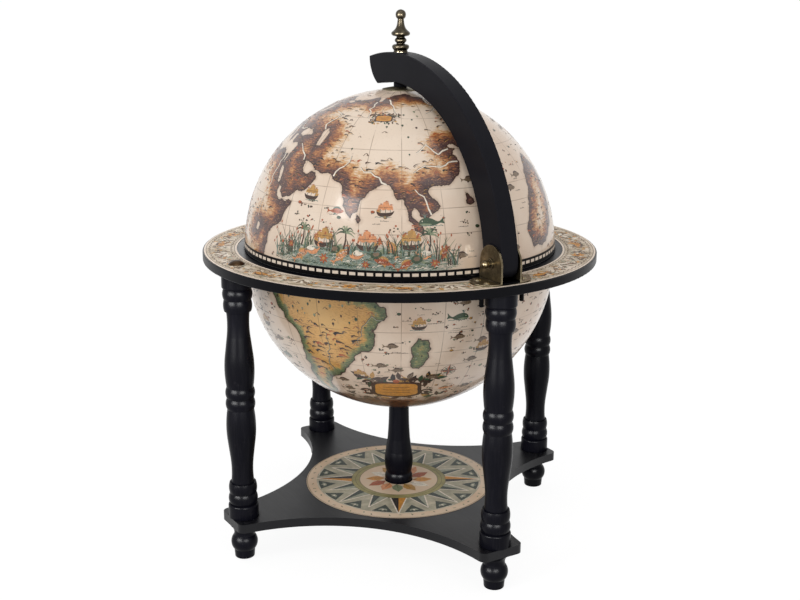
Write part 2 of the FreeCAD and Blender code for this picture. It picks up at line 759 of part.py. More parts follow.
def make_finial():
    waist_top = "(finial_waist_height + finial_bead_height)"
    lip = f"({waist_top} + finial_lip_height)"
    bell = f"({lip} + finial_bell_height)"
    sweep = f"({bell} + finial_sweep_height)"
    neck = f"({sweep} + finial_neck_height)"
    ball = f"({neck} + {under_dome('finial_ball_radius', 'finial_neck_radius')})"
    waist_bead = bead("finial_bead_height", "finial_bead_swell")
    bell_sweep = "(finial_bell_radius + finial_sweep_height)"
    finial = turned("finial", [
        ("pole_rod_radius", "0"),
        ("finial_base_radius", "0", "finial_foot_height", OUTWARD),
        ("finial_foot_radius", "finial_foot_height", "finial_cove_radius", INWARD),
        ("finial_waist_radius", "finial_waist_height", waist_bead, OUTWARD),
        ("finial_waist_radius", waist_top),
        ("finial_lip_radius", lip),
        ("finial_bell_radius", bell, bell_sweep, INWARD),
        ("finial_sweep_radius", sweep),
        ("finial_neck_radius", neck, "finial_ball_radius", OUTWARD),
        ("0", f"{ball} + finial_ball_radius"),
        ("0", "pole_rod_in_finial"),
        ("pole_rod_radius", "pole_rod_in_finial"),
    ])
    keep(place(finial, up=f"{LID_CENTRE} + {ARM_OUTER}"))


def make_arm():
    """The meridian arm: a curved bar with a round lower end about the hinge pin."""
    body = new_body("meridian_arm")
    sketch = new_sketch(body, "XZ_Plane")
    along = f"({PIN_ALONG} / {ARM_MIDDLE})"
    climb = f"({PIN_OVER_CENTRE} / {ARM_MIDDLE})"
    end_low = "(arm_width / 2)"
    top_x = f"(-{ARM_OUTER} * sin(arm_top_over_angle))"
    top_z = f"({ARM_OUTER} * cos(arm_top_over_angle))"
    under_x = f"(-{ARM_INNER} * sin(arm_under_over_angle))"
    under_z = f"({ARM_INNER} * cos(arm_under_over_angle))"
    end_chord = f"sqrt(({top_x} - {under_x})^2 + ({top_z} - {under_z})^2)"
    end_radius = bead(end_chord, "arm_end_rise")
    draw_outline(sketch, [
        (f"{ARM_OUTER} * {along}", f"{ARM_OUTER} * {climb}", ARM_OUTER, OUTWARD),
        (top_x, top_z, end_radius, OUTWARD),
        (under_x, under_z, ARM_INNER, INWARD),
        (f"{ARM_INNER} * {along}", f"{ARM_INNER} * {climb}", end_low, OUTWARD),
        (f"{ARM_MIDDLE} * {along} + {end_low} * {climb}", f"{ARM_MIDDLE} * {climb} - {end_low} * {along}",
         end_low, OUTWARD),
    ])
    draw_circle(sketch, "pin_radius + running_clearance + bush_wall", PIN_ALONG, PIN_OVER_CENTRE)
    bar = pad(body, sketch, "arm_thickness", symmetric=True)
    face = value("arm_thickness / 2")
    bore = value("pin_radius + running_clearance + bush_wall")

    def is_side_edge(edge):
        if not isinstance(edge.Curve, Part.Circle) or abs(edge.Curve.Radius - bore) < bore / 2:
            return False
        return abs(abs(edge.CenterOfMass.y) - face) < EDGE_TOLERANCE

    round_edges(body, bar, "arm_edge_rounding", is_side_edge)
    rod_hole = new_sketch(body, "XY_Plane", ARM_INNER)
    draw_circle(rod_hole, "pole_rod_radius", "-arm_shift")
    pocket(body, rod_hole, "2 * arm_width", symmetric=True)
    keep(place(body, across="arm_shift", up=LID_CENTRE))


def lay_along_y(body):
    """Turn a lathe piece so that its Z axis lies along +Y at the hinge pin."""
    body.Placement = FreeCAD.Placement(FreeCAD.Vector(), FreeCAD.Rotation(FreeCAD.Vector(1, 0, 0), -90))
    return place(body, across=PIN_X, up=PIN_Z)


def bracket_screw_places():
    """Centres of the four screws that hold the hinge brackets to the ring."""
    places = []
    for along in (f"-{BRACKET_SCREW_Y}", BRACKET_SCREW_Y):
        for side in ("-", "+"):
            places.append((f"{PIN_X} {side} bracket_screw_spread", along))
    return places


def make_hinge_bracket(label, sign):
    """An L-shaped bracket: a round-topped ear beside the arm and a round-ended foot on the ring."""
    body = new_body(label)
    half = "(arm_width / 2 + bracket_margin)"
    pin_up = f"({PIN_RISE} - print_thickness)"
    ear = new_sketch(body, "XZ_Plane")
    draw_outline(ear, [
        (f"-{half}", "0"),
        (half, "0"),
        (half, pin_up, half, OUTWARD),
        ("0", f"{pin_up} + {half}", half, OUTWARD),
        (f"-{half}", pin_up),
    ])
    draw_circle(ear, "pin_radius", "0", pin_up)
    pad(body, ear, "bracket_thickness", backwards=sign > 0)
    foot = new_sketch(body, "XY_Plane")
    minus = "" if sign > 0 else "-"
    side = OUTWARD if sign > 0 else INWARD
    straight = "(bracket_thickness + bracket_foot_straight)"
    draw_outline(foot, [
        (f"-{half}", "0"),
        (half, "0"),
        (half, f"{minus}{straight}", half, side),
        ("0", f"{minus}({straight} + {half})", half, side),
        (f"-{half}", f"{minus}{straight}"),
    ])
    for spread in ("-", ""):
        draw_circle(foot, "bracket_screw_radius", f"{spread}bracket_screw_spread",
                    f"{minus}(bracket_thickness + bracket_screw_reach)")
    pad(body, foot, "bracket_thickness")
    keep(place(body, PIN_X, f"{minus}{EAR_FACE}", RING_PRINT_TOP))


def make_hinge():
    make_hinge_bracket("hinge_bracket_left", -1)
    make_hinge_bracket("hinge_bracket_right", 1)
    foot_top = f"({RING_PRINT_TOP} + bracket_thickness)"
    screw_tip = f"({foot_top} - bracket_screw_length)"
    head = "bracket_screw_head_radius"
    head_dome = bead(f"(2 * {head})", "bracket_screw_head_height")
    screws = []
    for number, (across, along) in enumerate(bracket_screw_places(), 1):
        screw = turned(f"bracket_screw_{number}", [
            ("0", screw_tip),
            ("bracket_screw_radius", screw_tip),
            ("bracket_screw_radius", foot_top),
            (head, foot_top, head_dome, OUTWARD),
            ("0", f"{foot_top} + bracket_screw_head_height"),
        ])
        screws.append(place(screw, across, along))
    group("bracket_screws", screws)
    washers = []
    for label, sign in (("left_hinge_washer", "-"), ("right_hinge_washer", "")):
        arm_side = f"{sign}(arm_thickness / 2 + hinge_washer_gap)"
        ear_side = f"{sign}{EAR_FACE}"
        washers.append(lay_along_y(tube(label, "pin_radius", "hinge_washer_radius", arm_side, ear_side)))
    group("hinge_washers", washers)
    sleeve = "(pin_radius + running_clearance)"
    bush = tube("arm_bush", sleeve, f"{sleeve} + bush_wall", "-arm_thickness / 2", "arm_thickness / 2")
    keep(lay_along_y(bush))


def make_hinge_bolt():
    """The hinge bolt with its ball head, and the domed cap nut on its other end."""
    flange = f"({EAR_OUTSIDE} + knob_flange_height)"
    neck = f"({flange} + knob_neck_height)"
    ball_end = f"({neck} + {under_dome('knob_ball_radius', 'knob_neck_radius')} + knob_ball_radius)"
    bolt_end = f"({EAR_OUTSIDE} + knob_nut_bore)"
    bolt = turned("hinge_bolt", [
        ("0", f"-{ball_end}", "knob_ball_radius", OUTWARD),
        ("knob_neck_radius", f"-{neck}"),
        ("knob_neck_radius", f"-{flange}"),
        ("knob_flange_radius", f"-{flange}"),
        ("knob_flange_radius", f"-{EAR_OUTSIDE}"),
        ("pin_radius", f"-{EAR_OUTSIDE}"),
        ("pin_radius", bolt_end),
        ("0", bolt_end),
    ])
    keep(lay_along_y(bolt))
    nut = turned("hinge_nut", [
        ("pin_radius", EAR_OUTSIDE),
        ("knob_flange_radius", EAR_OUTSIDE),
        ("knob_flange_radius", bolt_end),
        ("knob_ball_radius", bolt_end, "knob_ball_radius", OUTWARD),
        ("0", f"{bolt_end} + knob_ball_radius"),
        ("0", bolt_end),
        ("pin_radius", bolt_end),
    ])
    keep(lay_along_y(nut))


def check_and_write():
    """Stop if anything failed, then write one file for each sub-part."""
    doc.recompute()
    failed = [thing.Name for thing in doc.Objects if {"Invalid", "Error"} & set(thing.State)]
    if failed:
        raise RuntimeError(f"failed objects: {failed}")
    for cut in cuts:
        if cut.Shape.Volume >= cut.BaseFeature.Shape.Volume:
            raise RuntimeError(f"{cut.Name} cuts nothing")
    for thing in sub_parts:
        if thing.Shape.isNull() or not thing.Shape.isValid():
            raise RuntimeError(f"{thing.Label} has no valid shape")
    os.makedirs("parts", exist_ok=True)
    for thing in sub_parts:
        thing.Shape.exportStep(f"parts/{thing.Label}.step")


make_feet()
make_legs()
make_foot_studs()
make_base_plate()
make_pillar()
make_horizon_ring()
make_ring_print()
make_ring_bolts()
make_bowl()
make_rack()
make_lid()
make_pole()
make_finial()
make_arm()
make_hinge()
make_hinge_bolt()
check_and_write()
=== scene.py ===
"""Looks of the floor globe bar: finishes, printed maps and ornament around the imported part."""
import math
import random

import bpy
import numpy as np
from mathutils import Matrix, Vector
from mathutils.geometry import tessellate_polygon


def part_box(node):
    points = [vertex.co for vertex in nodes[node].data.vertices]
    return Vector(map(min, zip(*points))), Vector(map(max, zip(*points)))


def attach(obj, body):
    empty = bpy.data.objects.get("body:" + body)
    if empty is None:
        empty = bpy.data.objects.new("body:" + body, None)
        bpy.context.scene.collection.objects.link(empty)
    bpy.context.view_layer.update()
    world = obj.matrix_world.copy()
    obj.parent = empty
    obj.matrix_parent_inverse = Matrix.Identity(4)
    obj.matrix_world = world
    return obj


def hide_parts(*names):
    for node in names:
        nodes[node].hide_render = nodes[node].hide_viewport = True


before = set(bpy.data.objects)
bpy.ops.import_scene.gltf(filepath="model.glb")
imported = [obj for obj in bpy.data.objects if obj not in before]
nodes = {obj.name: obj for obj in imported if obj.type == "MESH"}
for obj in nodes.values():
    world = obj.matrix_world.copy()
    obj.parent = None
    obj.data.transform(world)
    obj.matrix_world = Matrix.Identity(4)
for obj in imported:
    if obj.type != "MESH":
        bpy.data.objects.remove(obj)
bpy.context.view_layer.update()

MM = 0.001
LID_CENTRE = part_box("upper_hemisphere")[0].z
BOWL_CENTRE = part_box("lower_hemisphere")[1].z
GLOBE_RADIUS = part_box("upper_hemisphere")[1].x
SHELL_WALL = 0.006
POLE_HOLE = 0.007
ROD_HOLE = 0.004
BAND_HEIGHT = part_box("equator_band")[1].z - LID_CENTRE
BAND_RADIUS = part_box("equator_band")[1].x
RING_PAPER_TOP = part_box("ring_print")[1].z
RING_PAPER_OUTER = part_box("ring_print")[1].x
RING_PAPER_INNER = 0.221
BASE_PAPER_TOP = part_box("base_print")[1].z

# Camera fitted to the photo
CAMERA_PLACE = Vector((1.4217, -0.8444, 0.7618))
CAMERA_PITCH = math.radians(14.786)
CAMERA_YAW = math.radians(0.026)
CAMERA_ROLL = math.radians(0.269)
CAMERA_LENS = 55.64
SENSOR_WIDTH = 36.0


def tint(red, green, blue):
    """A colour from its three 0 to 255 screen values."""
    channels = []
    for level in (red / 255, green / 255, blue / 255):
        channels.append(level / 12.92 if level <= 0.04045 else ((level + 0.055) / 1.055) ** 2.4)
    return (*channels, 1.0)


def make_camera():
    data = bpy.data.cameras.new("photo_view")
    data.lens = CAMERA_LENS
    data.sensor_width = SENSOR_WIDTH
    camera = bpy.data.objects.new("photo_view", data)
    bpy.context.scene.collection.objects.link(camera)
    level = Vector((-CAMERA_PLACE.x, -CAMERA_PLACE.y, 0)).normalized()
    level = Matrix.Rotation(-CAMERA_YAW, 3, "Z") @ level
    forward = level * math.cos(CAMERA_PITCH) - Vector((0, 0, math.sin(CAMERA_PITCH)))
    right = forward.cross(Vector((0, 0, 1))).normalized()
    up = right.cross(forward)
    rolled_right = right * math.cos(CAMERA_ROLL) + up * math.sin(CAMERA_ROLL)
    rolled_up = up * math.cos(CAMERA_ROLL) - right * math.sin(CAMERA_ROLL)
    turn = Matrix((rolled_right, rolled_up, -forward)).transposed()
    camera.matrix_world = Matrix.Translation(CAMERA_PLACE) @ turn.to_4x4()
    bpy.context.scene.camera = camera


class Finish:
    """One procedural material. Each call adds a node and gives back the socket to link on."""

    def __init__(self, name, **sockets):
        self.material = bpy.data.materials.new(name)
        self.material.use_nodes = True
        self.nodes = self.material.node_tree.nodes
        self.links = self.material.node_tree.links
        self.surface = self.nodes["Principled BSDF"]
        for socket, number in sockets.items():
            self.set(socket.replace("_", " "), number)

    def feed(self, socket, value):
        if isinstance(value, bpy.types.NodeSocket):
            self.links.new(value, socket)
        else:
            socket.default_value = value

    def set(self, socket, value):
        self.feed(self.surface.inputs[socket], value)

    def add(self, kind, settings, inputs, output=0):
        node = self.nodes.new(kind)
        for key, setting in settings.items():
            setattr(node, key, setting)
        for key, value in inputs.items():
            self.feed(node.inputs[key], value)
        return node.outputs[output]

    def place(self):
        return self.add("ShaderNodeTexCoord", {}, {}, "Object")

    def attribute(self, name):
        return self.add("ShaderNodeAttribute", {"attribute_name": name}, {}, "Fac")

    def math(self, operation, first, second=0.0):
        return self.add("ShaderNodeMath", {"operation": operation}, {0: first, 1: second})

    def plus(self, first, second):
        return self.math("ADD", first, second)

    def times(self, first, second):
        return self.math("MULTIPLY", first, second)

    def minus(self, first, second):
        return self.math("SUBTRACT", first, second)

    def absolute(self, value):
        return self.math("ABSOLUTE", value)

    def dot(self, first, second):
        settings = {"operation": "DOT_PRODUCT"}
        return self.add("ShaderNodeVectorMath", settings, {0: first, 1: second}, "Value")

    def about(self, value, amount):
        """A 0 to 1 value swung about nought by an amount."""
        return self.times(self.minus(value, 0.5), amount)

    def parts(self, vector):
        node = self.nodes.new("ShaderNodeSeparateXYZ")
        self.feed(node.inputs[0], vector)
        return node.outputs[0], node.outputs[1], node.outputs[2]

    def join(self, across, along, up=0.0):
        return self.add("ShaderNodeCombineXYZ", {}, {0: across, 1: along, 2: up})

    def stretch(self, vector, scale):
        settings = {"operation": "MULTIPLY"}
        return self.add("ShaderNodeVectorMath", settings, {0: vector, 1: scale})

    def noise(self, vector, scale, detail=4.0, roughness=0.55):
        inputs = {"Vector": vector, "Scale": scale, "Detail": detail, "Roughness": roughness}
        return self.add("ShaderNodeTexNoise", {}, inputs, "Fac")

    def ease(self, value, low, high):
        """0 below one value and 1 above another, or the other way round, eased between them."""
        inputs = {"Value": value, "From Min": low, "From Max": high}
        return self.add("ShaderNodeMapRange", {"interpolation_type": "SMOOTHSTEP"}, inputs)

    def mix(self, share, first, second):
        inputs = {0: share, 6: first, 7: second}
        return self.add("ShaderNodeMix", {"data_type": "RGBA"}, inputs, 2)

    def wash(self, ground, share, amount, colour):
        """A colour laid over a ground where a share is high, up to an amount."""
        return self.mix(self.times(share, amount), ground, colour)

    def open_air(self):
        """1 in the open, and less in grooves and corners."""
        settings = {"samples": EDGE_SAMPLES}
        return self.add("ShaderNodeAmbientOcclusion", settings, {"Distance": HOLLOW_REACH}, "AO")

    def ramp(self, value, stops):
        node = self.nodes.new("ShaderNodeValToRGB")
        self.feed(node.inputs[0], value)
        elements = node.color_ramp.elements
        elements[0].position, elements[0].color = stops[0]
        elements[1].position, elements[1].color = stops[-1]
        for position, colour in stops[1:-1]:
            elements.new(position).color = colour
        return node.outputs[0]

    def bump(self, height, strength, distance=0.001):
        inputs = {"Height": height, "Strength": strength, "Distance": distance}
        self.set("Normal", self.add("ShaderNodeBump", {}, inputs))


# Radius for finding brass edges, which carry rubbed wear and a painted edge highlight
EDGE_WEAR_AND_GLEAM_REACH = 0.0006
HOLLOW_REACH = 0.005
EDGE_SAMPLES = 8
VARNISH = {"Roughness": 0.28, "Specular_IOR_Level": 0.22, "Coat_Weight": 0.5, "Coat_Roughness": 0.10}
MATT_PAPER = {"Roughness": 0.50, "Specular_IOR_Level": 0.18}
# The same satin black paint in three tones: the arm's is painted lighter and the turned pieces' nearly
# black, standing for the light and shade on them
DEEP_BLACK = (tint(5, 5, 9), tint(11, 11, 17))
LIGHTENED_BLACK = (tint(20, 20, 24), tint(31, 31, 36))
DARKENED_TURNED_BLACK = (tint(2, 2, 3), tint(4, 4, 8))


def make_black_paint(name, blacks, grain, roughness, shine, relief):
    """Satin black paint over wood, with the grain, brush marks and rubbed patches just showing."""
    finish = Finish(name)
    place = finish.place()
    fibre = finish.noise(finish.stretch(place, grain), 1.0, 5.0, 0.6)
    patch = finish.noise(place, 16.0, 3.0)
    rub = finish.ease(finish.noise(place, 70.0, 6.0, 0.7), 0.60, 0.78)
    shade = finish.mix(patch, *blacks)
    worn = finish.plus(finish.times(rub, 0.3), finish.about(fibre, 0.4))
    finish.set("Base Color", finish.mix(worn, shade, finish.mix(0.5, shade, tint(42, 40, 42))))
    # Painted shade: the reflection is dimmed in grooves and corners, so they read darker
    finish.set("Specular IOR Level", finish.times(finish.ease(finish.open_air(), 0.40, 0.96), shine))
    gloss = finish.plus(finish.about(patch, 0.10), finish.about(fibre, relief))
    finish.set("Roughness", finish.plus(gloss, roughness))
    finish.bump(finish.plus(fibre, finish.times(rub, 0.4)), relief, 0.0006)
    return finish.material


def make_antique_brass(name, dark, middle, light, roughness):
    """Bronzed brass: dark patina in the hollows, and bright along its edges here and there, partly rubbed
    wear and partly a painted highlight.
    """
    finish = Finish(name, Metallic=1.0)
    place = finish.place()
    cloud = finish.noise(place, 90.0, 6.0, 0.65)
    speck = finish.noise(place, 700.0, 3.0)
    tone = finish.plus(cloud, finish.about(speck, 0.25))
    colour = finish.ramp(tone, [(0.25, tint(*dark)), (0.5, tint(*middle)), (0.75, tint(*light))])
    rounded = finish.add("ShaderNodeBevel", {"samples": EDGE_SAMPLES}, {"Radius": EDGE_WEAR_AND_GLEAM_REACH})
    facing = finish.dot(rounded, finish.add("ShaderNodeNewGeometry", {}, {}, "Normal"))
    colour = finish.wash(colour, finish.ease(finish.open_air(), 0.88, 0.48), 0.9, tint(16, 13, 9))
    # Painted highlight: edges are washed with pale brass, standing for both rubbed wear and the gleam of
    # light on rounded edges
    edge = finish.times(finish.ease(facing, 0.985, 0.90), finish.ease(cloud, 0.30, 0.55))
    finish.set("Base Color", finish.wash(colour, edge, 0.8, tint(206, 194, 166)))
    finish.set("Roughness", finish.plus(finish.about(cloud, -0.16), roughness))
    finish.bump(tone, 0.10, 0.0003)
    return finish.material


def make_plain_metal(name, dark, light, roughness):
    finish = Finish(name, Metallic=1.0)
    place = finish.place()
    turned = finish.noise(finish.stretch(place, (200.0, 200.0, 1400.0)), 1.0, 4.0)
    finish.set("Base Color", finish.ramp(turned, [(0.3, dark), (0.7, light)]))
    finish.set("Roughness", finish.plus(finish.about(turned, 0.2), roughness))
    finish.bump(turned, 0.08, 0.0003)
    return finish.material


def make_nylon():
    finish = Finish("black_nylon", Specular_IOR_Level=0.35)
    grain = finish.noise(finish.place(), 900.0, 3.0)
    finish.set("Base Color", finish.ramp(grain, [(0.3, tint(20, 20, 21)), (0.7, tint(36, 36, 37))]))
    finish.set("Roughness", finish.plus(finish.about(grain, 0.2), 0.55))
    finish.bump(grain, 0.15, 0.0003)
    return finish.material


def make_felt():
    finish = Finish("black_felt", Sheen_Weight=0.3, Specular_IOR_Level=0.1)
    fluff = finish.noise(finish.place(), 1600.0, 6.0, 0.7)
    finish.set("Base Color", finish.ramp(fluff, [(0.3, tint(12, 12, 13)), (0.75, tint(40, 39, 40))]))
    finish.set("Roughness", finish.plus(finish.about(fluff, 0.2), 0.9))
    finish.bump(fluff, 0.7, 0.0008)
    return finish.material


def parchment(finish, place):
    """Aged paper colour: broad drift, stains and fine fibres."""
    drift = finish.noise(place, 7.0, 3.0)
    stain = finish.noise(place, 26.0, 6.0, 0.65)
    fibre = finish.noise(place, 620.0, 3.0)
    stops = [(0.30, tint(204, 177, 153)), (0.48, tint(217, 195, 174)), (0.68, tint(225, 207, 188))]
    paper = finish.ramp(finish.plus(drift, finish.about(stain, 0.35)), stops)
    paper = finish.wash(paper, finish.ease(stain, 0.60, 0.80), 0.35, tint(186, 154, 124))
    return finish.wash(paper, finish.ease(fibre, 0.55, 0.8), 0.12, tint(170, 140, 112))


make_camera()
bpy.context.scene.view_settings.view_transform = "Standard"
turned_black = make_black_paint("turned_black", DARKENED_TURNED_BLACK, (420.0, 420.0, 26.0), 0.29, 0.06, 0.001)
arm_black = make_black_paint("arm_black", LIGHTENED_BLACK, (60.0, 300.0, 60.0), 0.34, 0.035, 0.08)
ring_black = make_black_paint("ring_black", DEEP_BLACK, (60.0, 300.0, 60.0), 0.34, 0.08, 0.08)
board_black = make_black_paint("board_black", DEEP_BLACK, (22.0, 300.0, 300.0), 0.40, 0.28, 0.10)
rack_black = make_black_paint("rack_black", DEEP_BLACK, (20.0, 260.0, 260.0), 0.5, 0.3, 0.10)
antique_brass = make_antique_brass("antique_brass", (58, 50, 38), (98, 87, 66), (142, 128, 102), 0.30)
turned_bronze = make_antique_brass("turned_bronze", (42, 37, 30), (66, 60, 49), (96, 89, 75), 0.28)
# A lighter copy of the antique brass for the pole cap, painted lighter to make up for the dark arm and
# collar it reflects
lightened_cap_bronze = make_antique_brass("lightened_cap_bronze", (92, 84, 66), (132, 122, 98), (168, 158, 132), 0.42)
dark_bronze = make_antique_brass("dark_bronze", (36, 26, 18), (62, 46, 32), (90, 70, 50), 0.30)
plain_brass = make_plain_metal("turned_brass", tint(176, 142, 74), tint(214, 182, 112), 0.26)
zinc = make_plain_metal("zinc", tint(150, 152, 156), tint(196, 198, 202), 0.32)
black_nylon = make_nylon()
black_felt = make_felt()

FINISHES = {
    turned_black: ["leg_1", "leg_2", "leg_3", "leg_4", "foot_1", "foot_2", "foot_3", "foot_4", "pillar"],
    arm_black: ["meridian_arm", "pole_collar"],
    ring_black: ["horizon_ring", "lower_rim_hoop", "upper_rim_hoop"],
    board_black: ["base_plate"],
    rack_black: ["bottle_rack", "bottle_floor"],
    antique_brass: ["hinge_bracket_left", "hinge_bracket_right", "bracket_screws", "hinge_bolt",
                    "hinge_nut"],
    turned_bronze: ["finial"],
    lightened_cap_bronze: ["pole_cap"],
    dark_bronze: ["ring_bolts"],
    plain_brass: ["arm_bush", "pole_bush"],
    zinc: ["foot_studs", "hinge_leg_screw", "pillar_rod", "pillar_washers", "pillar_nuts",
           "hoop_screws", "pole_rod", "pole_nut", "pole_washer"],
    black_nylon: ["hinge_washers"],
    black_felt: ["rim_felt"],
}


def dress(node_name, material):
    """Give a node of the part one finish all over."""
    mesh = nodes[node_name].data
    mesh.materials.clear()
    mesh.materials.append(material)


for finish_material, node_names in FINISHES.items():
    for node_name in node_names:
        dress(node_name, finish_material)


